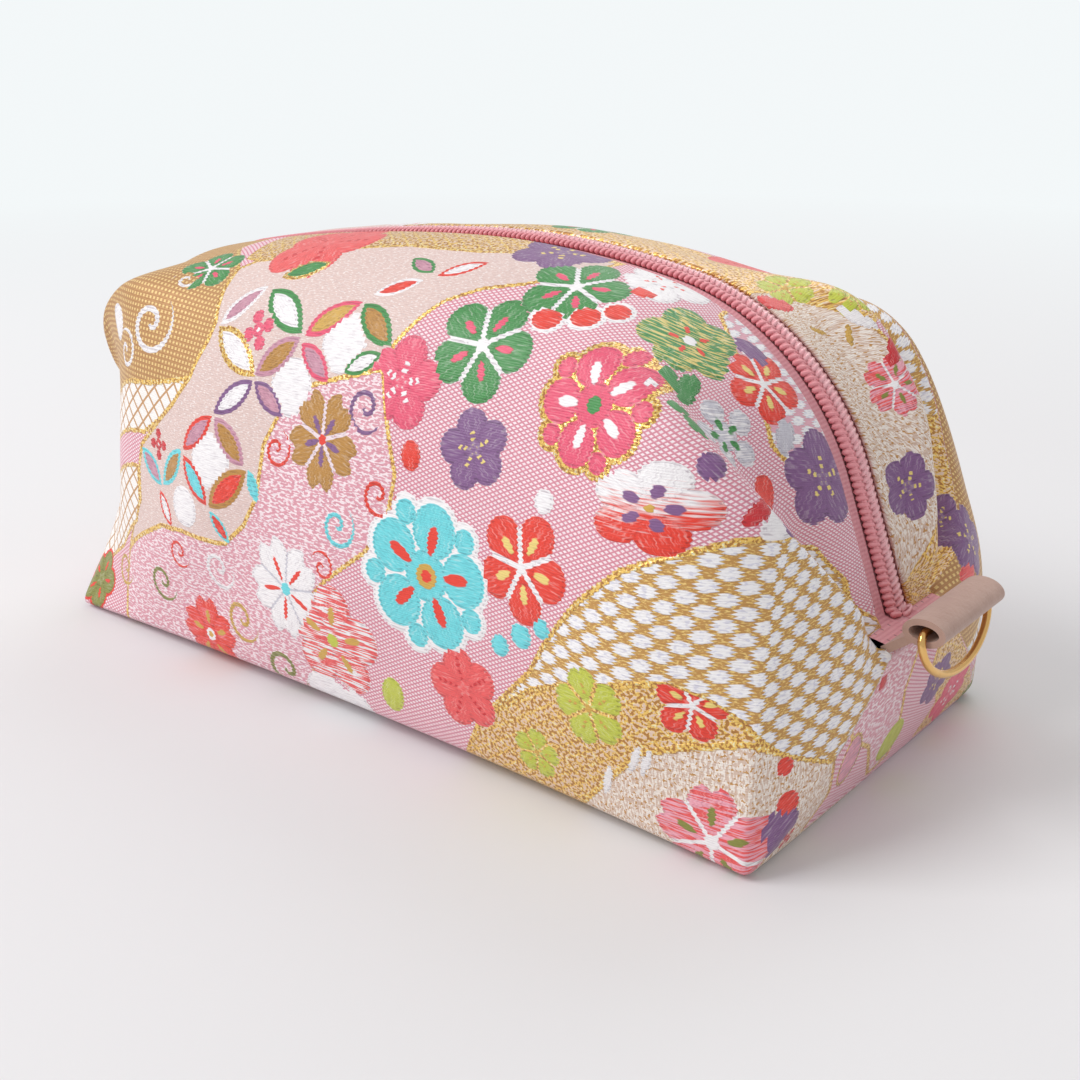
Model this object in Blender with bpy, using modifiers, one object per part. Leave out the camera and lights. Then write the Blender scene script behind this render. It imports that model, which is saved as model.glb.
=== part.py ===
# A zip-top box pouch in patterned brocade cloth, standing on its base with the zip closed.
# Lengths are in metres. +X is the end with the tab and ring, -Y the large front panel, +Z up.
import bmesh
import bpy
import numpy as np
from math import atan2, cos, pi, radians, sin

MM = 0.001

# Body
BASE_HALF_LENGTH = 95.0 * MM
BASE_HALF_DEPTH = 46.5 * MM
ZIP_MIDDLE_HEIGHT = 95.4 * MM
BASE_EDGE_LIFT = 2.6 * MM
BASE_EDGE_HEIGHT = 0.8 * MM
BASE_FLAT_SHARE = 0.5
SEAM_HEIGHT = 33.4 * MM
SEAM_HALF_WIDTH = 13.2 * MM
SEAM_HALF_THICK = 2.2 * MM
SEAM_REACH = 102.0 * MM

# The zip's line seen from the front, for each half: it leaves the middle at a lean, follows a low arch
# for a run, turns down round a shoulder of its own radius to a last lean, then runs straight to the seam.
RIGHT_LINE = {
    "lean": radians(-3.0),
    "arch": 200.0 * MM,
    "run": 50.0 * MM,
    "shoulder": 52.0 * MM,
    "end": radians(69.0),
}
LEFT_LINE = {
    "lean": radians(3.0),
    "arch": 500.0 * MM,
    "run": 70.0 * MM,
    "shoulder": 34.0 * MM,
    "end": radians(86.0),
}

# Layers
CLOTH_THICK = 1.2 * MM
GAP = 0.3 * MM
TAPE_THICK = 0.6 * MM
LINING_THICK = 0.8 * MM
LINING_GAP = 1.7 * MM
TAPE_CLEARANCE = 0.7 * MM
FRONT_CLOTH_EDGE = 10.0 * MM
BACK_CLOTH_EDGE = 7.0 * MM
TAPE_HALF_WIDTH = 13.0 * MM
BACK_TAPE_HALF_WIDTH = 10.0 * MM

# Zip
TAPE_GROOVE = 1.1 * MM
COIL_HALF_WIDTH = 2.9 * MM
COIL_HEIGHT = 1.7 * MM
COIL_CLEARANCE = 0.06 * MM
SLIDER_LEAN = radians(78.0)
SLIDER_LENGTH = 9.0 * MM
SLIDER_WIDTH = 8.6 * MM
SLIDER_PLATE = 1.0 * MM
SLIDER_POST = 0.5 * MM
SLIDER_POST_LENGTH = 2.4 * MM
SLIDER_DROP_GAP = 0.7 * MM
SLIDER_ROUNDING = 0.4 * MM
BRIDGE_WIRE = 1.2 * MM
BRIDGE_HALF_LENGTH = 3.2 * MM
BRIDGE_HEIGHT = 2.6 * MM
PULL_LENGTH = 20.0 * MM
PULL_WIDTH = 6.0 * MM
PULL_THICK = 1.2 * MM
PULL_SLOT_LENGTH = 4.6 * MM
PULL_SLOT_WIDTH = 2.6 * MM
STOP_SIZE = np.array([2.6, 2.6, 1.9]) * MM
STOP_PLACE = 7.4 * MM

# Tab and ring
TAB_WIDTH = 25.6 * MM
TAB_TUBE_DEPTH = 8.0 * MM
TAB_TUBE_HEIGHT = 5.2 * MM
TAB_WALL = 1.2 * MM
TAB_TAIL_THICK = 1.6 * MM
TAB_TAIL_INSET = 1.8 * MM
TAB_TAIL_LIFT = 0.6 * MM
TAB_REACH = 5.8 * MM
TAB_LIFT = 4.8 * MM
TAB_CENTRE = np.array([SEAM_REACH + TAB_REACH, 0.0, SEAM_HEIGHT + TAB_LIFT])
RING_WIRE = 1.5 * MM
RING_HALF_WIDTH = 14.0 * MM
RING_DEPTH = 10.6 * MM
RING_CORNER = 2.0 * MM
RING_REST_ANGLE = radians(78.0)

# Keys along the zip's line from the middle of the pouch to the end, in millimetres of run.
# ear: sideways place, height over the zip's line and slide along it, of the fold at the body's shoulder.
# valley: how far the strip beside the zip sinks. ridge: the fold that stands up beside the zip tape.
# bulge: how far the panel swells out between the ear and the base.
CORNER_RUN = 104.0
RUN = (0.0, 55.0, 75.0, 90.0, CORNER_RUN, 117.0, 124.0)
FRONT_RIGHT = {
    "ear_side": (36.0, 37.0, 40.0, 38.5, 33.5, 26.0, 19.5),
    "ear_rise": (-11.0, -7.5, -3.5, -0.2, 3.2, 5.0, 4.5),
    "ear_slide": (0.0, 1.5, 3.4, 2.6, 0.2, -2.0, -0.8),
    "valley": (0.0, 0.0, 0.8, 2.6, 4.0, 4.0, 2.6),
    "ridge": (0.0, 0.0, 0.0, 0.0, 0.0, 0.0, 0.0),
    "bulge": (8.3, 8.0, 7.4, 5.6, 4.0, 3.2, 1.8),
}
BACK_RIGHT = {
    "ear_side": (35.0, 37.0, 39.0, 39.0, 37.5, 32.0, 24.0),
    "ear_rise": (-10.0, -6.0, -0.8, -0.2, -1.0, 0.6, 2.0),
    "ear_slide": (0.0, -0.5, -1.0, -3.4, -1.6, 1.0, 0.5),
    "valley": (0.0, 0.0, 1.0, 3.5, 6.5, 6.0, 3.0),
    "ridge": (0.0, 1.0, 6.4, 6.2, 4.6, 2.6, 1.2),
    "bulge": (7.5, 7.5, 7.2, 6.4, 5.4, 4.6, 2.4),
}
FRONT_LEFT = {
    "ear_side": (36.0, 36.0, 37.0, 36.0, 32.0, 25.0, 19.0),
    "ear_rise": (-11.0, -9.0, -4.0, -1.0, 1.0, 2.6, 2.4),
    "ear_slide": (0.0, 1.0, 2.0, 2.0, 0.0, -1.0, -0.8),
    "valley": (0.0, 0.0, 0.8, 2.4, 3.6, 3.2, 2.0),
    "ridge": (0.0, 0.0, 0.0, 0.0, 0.0, 0.0, 0.0),
    "bulge": (8.3, 6.6, 2.0, -4.0, -9.0, -4.0, -1.0),
}
BACK_LEFT = dict(FRONT_LEFT, ear_rise=(-10.0, -7.0, -3.0, -0.5, 1.0, 2.6, 2.4))
# Where across the strip the ridge and the valley lie, as shares of the way from cloth edge to ear
RIDGE_PLACE = 0.40
RIDGE_SPREAD = 0.18
FRONT_VALLEY = (0.55, 0.25)
BACK_VALLEY = (0.72, 0.14)

BULGE_SKEW = 0.85

MOST_FOLD_FACTOR = 1.6

# How near each end's seam the slot, the tapes and the coil reach
SLOT_END = 1.4 * MM
SLOT_BELOW = 5.0 * MM
SLOT_ABOVE = 4.0 * MM
TAPE_END = SLOT_END + 0.5 * MM
TAPE_WING_REACH = 96.0 * MM
COIL_END = SLOT_END + 0.8 * MM

# Detail of the lofts
PANEL_ROWS = 14
END_ROWS = 5
STRIP_STEPS = 9
PANEL_STEPS = 8
TAPE_COLUMNS = 3
SEAM_ROWS = 1
BASE_STEPS = 4
SLOT_BAND_ROWS = 48
TAPE_BAND_ROWS = 44
WING_BAND_ROWS = 34
BRIDGE_STEPS = 12
RING_CORNER_STEPS = 4
RING_BOW_STEPS = 24


def clear_scene():
    for item in list(bpy.data.objects):
        bpy.data.objects.remove(item, do_unlink=True)


def paint(obj, name, colour, roughness, metallic=0.0):
    material = bpy.data.materials.new(name)
    material.use_nodes = True
    shader = material.node_tree.nodes["Principled BSDF"]
    shader.inputs["Base Color"].default_value = (*colour, 1.0)
    shader.inputs["Roughness"].default_value = roughness
    shader.inputs["Metallic"].default_value = metallic
    obj.data.materials.clear()
    obj.data.materials.append(material)


def only_select(obj):
    bpy.ops.object.select_all(action="DESELECT")
    obj.select_set(True)
    bpy.context.view_layer.objects.active = obj


def apply_modifiers(obj):
    only_select(obj)
    bpy.ops.object.convert(target="MESH")


def add_object(name, vertices, faces):
    mesh = bpy.data.meshes.new(name)
    mesh.from_pydata([tuple(v) for v in vertices], [], faces)
    mesh.update()
    obj = bpy.data.objects.new(name, mesh)
    bpy.context.scene.collection.objects.link(obj)
    return obj


def box(name, size, centre, turn=0.0):
    bpy.ops.mesh.primitive_cube_add(size=1.0, location=tuple(centre), rotation=(0.0, turn, 0.0))
    obj = bpy.context.object
    obj.name = name
    obj.scale = size
    bpy.ops.object.transform_apply(location=False, rotation=False, scale=True)
    return obj


def rounded(obj, width, segments=2):
    bevel = obj.modifiers.new("soft edges", "BEVEL")
    bevel.width = width
    bevel.segments = segments
    apply_modifiers(obj)
    return obj


def combine(obj, other, operation):
    step = obj.modifiers.new(operation.lower(), "BOOLEAN")
    step.operation = operation
    step.solver = "EXACT"
    step.object = other
    apply_modifiers(obj)
    bpy.data.objects.remove(other, do_unlink=True)
    return obj


def arch_end(line):
    """Where a half's low arch ends and its shoulder begins, and the lean there."""
    lean = line["lean"] + line["run"] / line["arch"]
    x = line["arch"] * (sin(lean) - sin(line["lean"]))
    z = ZIP_MIDDLE_HEIGHT + line["arch"] * (cos(lean) - cos(line["lean"]))
    return x, z, lean


def shoulder_centre(line):
    x, z, lean = arch_end(line)
    return x - line["shoulder"] * sin(lean), z - line["shoulder"] * cos(lean)


def zip_line(run, line):
    """Place and lean of the zip's line at a length of run from the middle, for the half towards +X."""
    if run <= line["run"]:
        lean = line["lean"] + run / line["arch"]
        x = line["arch"] * (sin(lean) - sin(line["lean"]))
        z = ZIP_MIDDLE_HEIGHT + line["arch"] * (cos(lean) - cos(line["lean"]))
        return np.array([x, z]), lean
    centre = np.array(shoulder_centre(line))
    first_lean = arch_end(line)[2]
    lean = min(first_lean + (run - line["run"]) / line["shoulder"], line["end"])
    place = centre + line["shoulder"] * np.array([sin(lean), cos(lean)])
    rest = run - line["run"] - line["shoulder"] * (line["end"] - first_lean)
    if rest > 0.0:
        place = place + rest * np.array([cos(lean), -sin(lean)])
    return place, lean


def half_run(line):
    """Length of the zip's line from the middle down to the upper lip of the end seam."""
    run = line["run"] + line["shoulder"] * (line["end"] - arch_end(line)[2])
    drop = zip_line(run, line)[0][1] - SEAM_HEIGHT - SEAM_HALF_THICK
    return run + drop / sin(line["end"])


def smooth_keys(values, run, end_value, full_run):
    """A smooth curve through the keys, with one more key at the end seam."""
    places = np.array(RUN + (full_run / MM,))
    heights = np.array(values + (end_value,))
    at = min(run / MM, places[-1])
    k = int(np.clip(np.searchsorted(places, at) - 1, 0, len(places) - 2))
    slopes = np.gradient(heights, places)
    span = places[k + 1] - places[k]
    t = (at - places[k]) / span
    first = (1 + 2 * t) * (1 - t) ** 2 * heights[k] + t * (1 - t) ** 2 * span * slopes[k]
    second = t * t * (3 - 2 * t) * heights[k + 1] - t * t * (1 - t) * span * slopes[k + 1]
    return (first + second) * MM


def base_corner_line(run, full_run):
    """The crease between panel and base, which climbs the lower end face beyond the base's corner."""
    corner_run = CORNER_RUN * MM
    if run <= corner_run:
        x = BASE_HALF_LENGTH * run / corner_run
        lift = BASE_EDGE_LIFT * (1.0 - (x / BASE_HALF_LENGTH) ** 2)
        return np.array([x, BASE_HALF_DEPTH, BASE_EDGE_HEIGHT + lift])
    t = (run - corner_run) / (full_run - corner_run)
    height = BASE_EDGE_HEIGHT + (SEAM_HEIGHT - SEAM_HALF_THICK - BASE_EDGE_HEIGHT) * t
    side = BASE_HALF_DEPTH + (SEAM_HALF_WIDTH - BASE_HALF_DEPTH) * t
    out = BASE_HALF_LENGTH + (SEAM_REACH - BASE_HALF_LENGTH) * (1.0 - (1.0 - t) ** 2)
    return np.array([out, side, height])


def half_section(run, keys, line, cloth_edge, valley_shape):
    """Points from the zip's line out over the shoulder, down the panel and in to the base's middle."""
    full_run = half_run(line)
    (x, z), lean = zip_line(run, line)
    outward = np.array([sin(lean), 0.0, cos(lean)])
    along = np.array([cos(lean), 0.0, -sin(lean)])
    centre = np.array([x, 0.0, z])
    ends = {"ear_side": SEAM_HALF_WIDTH / MM}
    ear_side, ear_rise, ear_slide, valley, ridge, bulge = (
        smooth_keys(keys[name], run, ends.get(name, 0.0), full_run)
        for name in ("ear_side", "ear_rise", "ear_slide", "valley", "ridge", "bulge")
    )
    points = [centre, centre + np.array([0.0, cloth_edge, 0.0])]
    for step in range(1, STRIP_STEPS + 1):
        t = step / STRIP_STEPS
        hump = ridge * np.exp(-(((t - RIDGE_PLACE) / RIDGE_SPREAD) ** 2))
        dip = valley * np.exp(-(((t - valley_shape[0]) / valley_shape[1]) ** 2))
        rise = ear_rise * t * t - dip + hump
        side = np.array([0.0, cloth_edge + (ear_side - cloth_edge) * t, 0.0])
        points.append(centre + side + outward * rise + along * ear_slide * t * t)
    ear = points[-1]
    corner = base_corner_line(run, full_run)
    swell = np.array([0.35 * run / full_run, 1.0, 0.0])
    for step in range(1, PANEL_STEPS + 1):
        t = step / PANEL_STEPS
        points.append(ear + (corner - ear) * t + swell * bulge * sin(pi * t**BULGE_SKEW) ** 0.8)
    sag = 1.6 * MM * max(0.0, run / full_run - 0.8) * 5.0 * (1.0 - run / full_run) * 5.0
    for step in range(1, BASE_STEPS + 1):
        t = step / BASE_STEPS
        point = corner * np.array([1.0, 1.0 - t, 1.0])
        if run <= CORNER_RUN * MM:
            point[2] = corner[2] * max(0.0, 1.0 - t / BASE_FLAT_SHARE) ** 2
        point[0] -= sag * t
        points.append(point)
    return points


def closed_section(run, right):
    """One whole section round the body at a run from the middle, front and back together."""
    line = RIGHT_LINE if right else LEFT_LINE
    front_keys, back_keys = (FRONT_RIGHT, BACK_RIGHT) if right else (FRONT_LEFT, BACK_LEFT)
    front = half_section(run, front_keys, line, FRONT_CLOTH_EDGE, FRONT_VALLEY)
    back = half_section(run, back_keys, line, BACK_CLOTH_EDGE, BACK_VALLEY)
    loop = [p * np.array([1.0, -1.0, 1.0]) for p in front] + back[-2:0:-1]
    if not right:
        loop = [p * np.array([-1.0, 1.0, 1.0]) for p in loop]
    return np.array(loop)


def half_rows(line):
    """Runs of one half's rows, with a row exactly at the base's corner."""
    corner_run = CORNER_RUN * MM
    last = half_run(line)
    panel = [corner_run * (k / PANEL_ROWS) ** 0.8 for k in range(1, PANEL_ROWS + 1)]
    return panel + [corner_run + (last - corner_run) * k / END_ROWS for k in range(1, END_ROWS + 1)]


def body_grid():
    """Rows of section points from the left end's seam to the right end's."""
    left = [closed_section(run, False) for run in reversed(half_rows(LEFT_LINE))]
    right = [closed_section(run, True) for run in half_rows(RIGHT_LINE)]
    return np.array(left + [closed_section(0.0, True)] + right)


def body_through(name, grid, closed=True, dent=0.0):
    """A body through the rows, with both ends closed by a fan, dented inwards by a share of a row.

    Not closed leaves it open along the zip.
    """
    rows, columns = grid.shape[:2]
    middles = grid.mean(axis=1)
    first_cap = middles[0] + (middles[1] - middles[0]) * dent
    last_cap = middles[-1] + (middles[-2] - middles[-1]) * dent
    vertices = [*grid.reshape(-1, 3), first_cap, last_cap]
    faces = []
    for j in range(columns if closed else columns - 1):
        k = (j + 1) % columns
        for i in range(rows - 1):
            here, after = i * columns, (i + 1) * columns
            faces.append((here + j, after + j, after + k, here + k))
    last = (rows - 1) * columns
    for j in range(columns):
        k = (j + 1) % columns
        faces.append((j, k, rows * columns))
        faces.append((last + k, last + j, rows * columns + 1))
    obj = add_object(name, vertices, faces)
    only_select(obj)
    bpy.ops.object.mode_set(mode="EDIT")
    bpy.ops.mesh.select_all(action="SELECT")
    bpy.ops.mesh.normals_make_consistent(inside=False)
    bpy.ops.object.mode_set(mode="OBJECT")
    return obj


def inset_grid(grid, depth):
    """The grid moved inwards by an even depth, more along the vertex's normal where a fold is sharp."""
    solid = body_through("inset guide", grid)
    shape = bmesh.new()
    shape.from_mesh(solid.data)
    shape.verts.ensure_lookup_table()
    shape.normal_update()
    ring_verts = shape.verts[: grid.shape[0] * grid.shape[1]]
    normals = np.array([v.normal for v in ring_verts]).reshape(grid.shape)
    factors = np.array([min(v.calc_shell_factor(), MOST_FOLD_FACTOR) for v in ring_verts])
    shape.free()
    bpy.data.objects.remove(solid, do_unlink=True)
    return grid - normals * factors.reshape(*grid.shape[:2], 1) * depth


def zip_points(start, stop, count, depth):
    """Points on the zip's line, sunk by a depth, with runs counted as minus to the left."""
    points = []
    for run in np.linspace(start, stop, count):
        place, lean = zip_line(abs(run), RIGHT_LINE if run > 0 else LEFT_LINE)
        place = place - depth * np.array([sin(lean), cos(lean)])
        points.append((place[0] if run > 0 else -place[0], 0.0, place[1]))
    return points


def band_along_zip(name, start, stop, count, near, far, bottom, top):
    """A band with a rectangular section that follows the zip's line. near and far are places along Y."""
    lower = np.array(zip_points(start, stop, count, -bottom))
    upper = np.array(zip_points(start, stop, count, -top))
    low_y, high_y = min(near, far), max(near, far)
    rows = []
    for a, b in zip(lower, upper, strict=True):
        rows.append([a + (0, low_y, 0), a + (0, high_y, 0), b + (0, high_y, 0), b + (0, low_y, 0)])
    return body_through(name, np.array(rows))


clear_scene()

run_right = half_run(RIGHT_LINE)
run_left = half_run(LEFT_LINE)

# Outer cloth: one closed body, hollowed, then slotted along the zip and at the seam for the tab
grid = body_grid()
cloth = body_through("brocade_body", grid)
cloth_hollow = body_through("hollow", inset_grid(grid, CLOTH_THICK)[SEAM_ROWS:-SEAM_ROWS], dent=1.0)
combine(cloth, cloth_hollow, "DIFFERENCE")
slot_run = (-run_left + SLOT_END, run_right - SLOT_END)
slot = band_along_zip(
    "slot", *slot_run, SLOT_BAND_ROWS, -FRONT_CLOTH_EDGE, BACK_CLOTH_EDGE, -SLOT_BELOW, SLOT_ABOVE
)
combine(cloth, slot, "DIFFERENCE")
seam_mouth = np.array([SEAM_REACH, 0.0, SEAM_HEIGHT + TAB_TAIL_LIFT])
tail_end = TAB_CENTRE + np.array([1.4 * TAB_WALL - TAB_TUBE_DEPTH / 2, 0.0, -0.3 * TAB_TUBE_HEIGHT])
tail_way = (tail_end - seam_mouth) / np.linalg.norm(tail_end - seam_mouth)
tail_tilt = -atan2(tail_way[2], tail_way[0])
tail_slot_size = (2 * (TAB_TAIL_INSET + GAP), TAB_WIDTH + 2 * GAP, TAB_TAIL_THICK + 2 * GAP)
combine(cloth, box("tail slot", tail_slot_size, seam_mouth, tail_tilt), "DIFFERENCE")
paint(cloth, "brocade", (0.78, 0.56, 0.50), 0.6)

# Lining: a thinner bag inside, open along the zip. It spans the fold at each shoulder instead of following it
lining_depth = np.full(grid.shape[:2] + (1,), CLOTH_THICK + LINING_GAP)
under_tape = CLOTH_THICK + TAPE_THICK + 2 * GAP + TAPE_CLEARANCE
under_slider = CLOTH_THICK + TAPE_THICK + SLIDER_DROP_GAP + SLIDER_PLATE + 3 * GAP
for column in range(-TAPE_COLUMNS, TAPE_COLUMNS + 1):
    lining_depth[:, column] = under_tape
    # The lining's left end crosses below the slider's path, so its edge sinks there
    lining_depth[END_ROWS, column] = under_slider
ear_column = 1 + STRIP_STEPS
skipped = {ear_column - 1, ear_column, ear_column + 1}
last_column = grid.shape[1] - TAPE_COLUMNS + 1
lining_columns = [
    column for column in range(TAPE_COLUMNS - 1, last_column + 1)
    if min(column, grid.shape[1] - column) not in skipped
]
lining_grid = inset_grid(grid, lining_depth)[END_ROWS:-END_ROWS, lining_columns]
lining = body_through("lining", lining_grid, closed=False, dent=1.0)
wall = lining.modifiers.new("thickness", "SOLIDIFY")
wall.thickness = LINING_THICK
wall.offset = -1.0
apply_modifiers(lining)
paint(lining, "lining", (0.80, 0.62, 0.60), 0.7)

# Zip tapes, one each side of the groove, with wings that reach under the cloth's folded edge
tape_top = -(CLOTH_THICK + GAP)
tape_run = (-run_left + TAPE_END, run_right - TAPE_END)
groove_side = TAPE_GROOVE / 2
for name, way, edge, wing in (
    ("zip_tape_front", -1.0, FRONT_CLOTH_EDGE, TAPE_HALF_WIDTH),
    ("zip_tape_back", 1.0, BACK_CLOTH_EDGE, BACK_TAPE_HALF_WIDTH),
):
    inner = way * groove_side
    outer = way * (edge - GAP)
    tape_low = tape_top - TAPE_THICK
    tape = band_along_zip(name, *tape_run, TAPE_BAND_ROWS, inner, outer, tape_low, tape_top)
    wing_run = (-TAPE_WING_REACH, TAPE_WING_REACH)
    wing_top = tape_top - TAPE_THICK * 0.1
    wing_low = tape_top - TAPE_THICK * 0.9
    wing_sides = (way * (edge - MM), way * wing)
    wing_band = band_along_zip("wing", *wing_run, WING_BAND_ROWS, *wing_sides, wing_low, wing_top)
    combine(tape, wing_band, "UNION")
    paint(tape, name, (0.86, 0.52, 0.54), 0.8)

# Zip coil, one half on each tape
coil_run = (-run_left + STOP_PLACE + STOP_SIZE[0] / 2 + GAP, run_right - COIL_END)
for name, way in (("zip_coil_front", -1.0), ("zip_coil_back", 1.0)):
    bottom = tape_top + COIL_CLEARANCE
    coil_sides = (way * groove_side, way * COIL_HALF_WIDTH)
    coil = band_along_zip(name, *coil_run, TAPE_BAND_ROWS, *coil_sides, bottom, bottom + COIL_HEIGHT)
    rounded(coil, 0.5 * MM, 2)
    paint(coil, name, (0.80, 0.38, 0.42), 0.45)

# Top stops, clamped on the tapes just past the closed slider
coil_bottom = tape_top + COIL_CLEARANCE
stop_side = groove_side + STOP_SIZE[1] / 2
stop_place, stop_lean = zip_line(run_left - STOP_PLACE, LEFT_LINE)
stop_lift = tape_top + GAP + STOP_SIZE[2] / 2
for name, way in (("top_stop_front", -1.0), ("top_stop_back", 1.0)):
    out_x = -stop_place[0] - stop_lift * sin(stop_lean)
    out_z = stop_place[1] + stop_lift * cos(stop_lean)
    stop = box(name, STOP_SIZE, (out_x, way * stop_side, out_z), -stop_lean)
    rounded(stop, 0.4 * MM)
    paint(stop, name, (0.85, 0.70, 0.42), 0.3, 1.0)

# Slider, parked at the closed end: two plates, a post in the groove, flanges and a bridge
left_x, left_z = shoulder_centre(LEFT_LINE)
slider_pivot = np.array([-left_x, 0.0, left_z])
slider_out = np.array([-sin(SLIDER_LEAN), 0.0, cos(SLIDER_LEAN)])
slider_down = np.array([-cos(SLIDER_LEAN), 0.0, -sin(SLIDER_LEAN)])


def on_slider(down, side, out):
    """A place given along the zip's line from the slider's middle, sideways, and over the zip's line."""
    reach = slider_pivot + slider_out * (LEFT_LINE["shoulder"] + out)
    return reach + slider_down * down + np.array([0.0, side, 0.0])


def slider_block(name, length, width, low, high, side=0.0, down=0.0):
    middle = on_slider(down, side, (low + high) / 2)
    return box(name, (length, width, high - low), middle, -SLIDER_LEAN)


coil_top = coil_bottom + COIL_HEIGHT
plate_low = coil_top + GAP
plate_high = plate_low + SLIDER_PLATE
under_high = tape_top - TAPE_THICK - SLIDER_DROP_GAP
under_low = under_high - SLIDER_PLATE
plate_size = (SLIDER_LENGTH, SLIDER_WIDTH)
slider = rounded(slider_block("zip_slider", *plate_size, plate_low, plate_high), SLIDER_ROUNDING)
under = rounded(slider_block("under plate", *plate_size, under_low, under_high), SLIDER_ROUNDING)
combine(slider, under, "UNION")
overlap = 0.3 * SLIDER_PLATE
post = slider_block("post", SLIDER_POST_LENGTH, SLIDER_POST, under_high - overlap, plate_low + overlap)
combine(slider, post, "UNION")
flange_width = SLIDER_WIDTH / 2 - COIL_HALF_WIDTH - GAP
flange_side = SLIDER_WIDTH / 2 - flange_width / 2
flange_size = (SLIDER_LENGTH * 0.8, flange_width * 0.9)
for way in (-1.0, 1.0):
    flange = slider_block(
        "flange", *flange_size, tape_top + GAP, plate_low + overlap, way * flange_side
    )
    combine(slider, flange, "UNION")


def wire(name, points, thickness, cyclic=False, sides=3):
    """A round wire through the points."""
    curve = bpy.data.curves.new(name, "CURVE")
    curve.dimensions = "3D"
    spline = curve.splines.new("POLY")
    spline.points.add(len(points) - 1)
    for item, place in zip(spline.points, points, strict=True):
        item.co = (*place, 1.0)
    spline.use_cyclic_u = cyclic
    curve.bevel_depth = thickness / 2
    curve.bevel_resolution = sides
    curve.use_fill_caps = not cyclic
    obj = bpy.data.objects.new(name, curve)
    bpy.context.scene.collection.objects.link(obj)
    apply_modifiers(obj)
    return obj


bridge_points = []
for step in range(BRIDGE_STEPS + 1):
    turn = pi * step / BRIDGE_STEPS
    rise = plate_high - overlap + (BRIDGE_HEIGHT + overlap) * sin(turn) ** 0.7
    bridge_points.append(on_slider(-BRIDGE_HALF_LENGTH * cos(turn), 0.0, rise))
combine(slider, wire("bridge", bridge_points, BRIDGE_WIRE), "UNION")
paint(slider, "slider_metal", (0.85, 0.68, 0.40), 0.28, 1.0)

# Pull: a flat tab whose cross bar lies under the slider's bridge
pull_level = plate_high + GAP + PULL_THICK / 2
bar_half = PULL_THICK / 2
pull_middle = PULL_LENGTH / 2 - bar_half
pull = slider_block(
    "zip_pull", PULL_LENGTH, PULL_WIDTH, pull_level - bar_half, pull_level + bar_half, down=pull_middle
)
pull_slot = slider_block(
    "pull slot",
    PULL_SLOT_LENGTH,
    PULL_SLOT_WIDTH,
    pull_level - PULL_THICK,
    pull_level + PULL_THICK,
    down=bar_half + PULL_SLOT_LENGTH / 2,
)
combine(pull, pull_slot, "DIFFERENCE")
rounded(pull, 0.35 * MM)
pull_pivot = on_slider(0.0, 0.0, pull_level)
paint(pull, "pull_metal", (0.85, 0.68, 0.40), 0.28, 1.0)


def tube_along_y(name, depth, height, length, centre):
    bpy.ops.mesh.primitive_cylinder_add(
        vertices=36, radius=0.5, depth=length, location=tuple(centre), rotation=(pi / 2, 0.0, 0.0)
    )
    obj = bpy.context.object
    obj.name = name
    obj.scale = (depth, height, 1.0)
    bpy.ops.object.transform_apply(location=True, rotation=True, scale=True)
    return obj


# Tab: a strip folded into a tube, its two ends caught together in the end seam
tab = tube_along_y("tab_loop", TAB_TUBE_DEPTH, TAB_TUBE_HEIGHT, TAB_WIDTH, TAB_CENTRE)
tail_start = seam_mouth - tail_way * TAB_TAIL_INSET
tail_length = np.linalg.norm(tail_end - tail_start)
tail_middle = (tail_start + tail_end) / 2
tail = box("tail", (tail_length, TAB_WIDTH, TAB_TAIL_THICK), tail_middle, tail_tilt)
combine(tab, tail, "UNION")
bore_depth = TAB_TUBE_DEPTH - 2 * TAB_WALL
bore_height = TAB_TUBE_HEIGHT - 2 * TAB_WALL
combine(tab, tube_along_y("bore", bore_depth, bore_height, TAB_WIDTH * 1.2, TAB_CENTRE), "DIFFERENCE")
paint(tab, "tab_leather", (0.52, 0.38, 0.33), 0.65)

# Ring: a straight bar through the tab and a bow that hangs from it
ring_way = np.array([cos(RING_REST_ANGLE), 0.0, -sin(RING_REST_ANGLE)])
bar_half_length = RING_HALF_WIDTH - RING_CORNER
outline = [(side, 0.0) for side in np.linspace(-bar_half_length, bar_half_length, 7)]
for step in range(1, RING_CORNER_STEPS):
    turn = pi / 2 * step / RING_CORNER_STEPS
    outline.append(
        (RING_HALF_WIDTH - RING_CORNER * (1 - sin(turn)), RING_CORNER * (1 - cos(turn)))
    )
bow_depth = RING_DEPTH - RING_CORNER
for step in range(RING_BOW_STEPS + 1):
    turn = pi * step / RING_BOW_STEPS
    outline.append((RING_HALF_WIDTH * cos(turn), RING_CORNER + bow_depth * sin(turn)))
for step in range(RING_CORNER_STEPS - 1, 0, -1):
    turn = pi / 2 * step / RING_CORNER_STEPS
    outline.append(
        (-RING_HALF_WIDTH + RING_CORNER * (1 - sin(turn)), RING_CORNER * (1 - cos(turn)))
    )
ring_points = [
    TAB_CENTRE + np.array([0.0, side, 0.0]) + ring_way * drop for side, drop in outline
]
ring = wire("d_ring", ring_points, RING_WIRE, cyclic=True, sides=4)
paint(ring, "ring_metal", (0.90, 0.66, 0.30), 0.18, 1.0)


def put_origin(obj, place):
    bpy.context.scene.cursor.location = tuple(place)
    only_select(obj)
    bpy.ops.object.origin_set(type="ORIGIN_CURSOR")


put_origin(slider, slider_pivot)
put_origin(pull, pull_pivot)
put_origin(ring, TAB_CENTRE)
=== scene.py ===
# %% [markdown]
# # A zip-top brocade pouch
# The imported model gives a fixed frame: a standing box pouch with a curved coil zip, a folded tab and a
# ring. This lesson dresses it: patterned cloth that follows the same folds, a wound coil zip, suede and
# gold.

from math import cos, pi, radians, sin

import bpy
import numpy as np
from mathutils import Matrix, Vector


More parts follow.
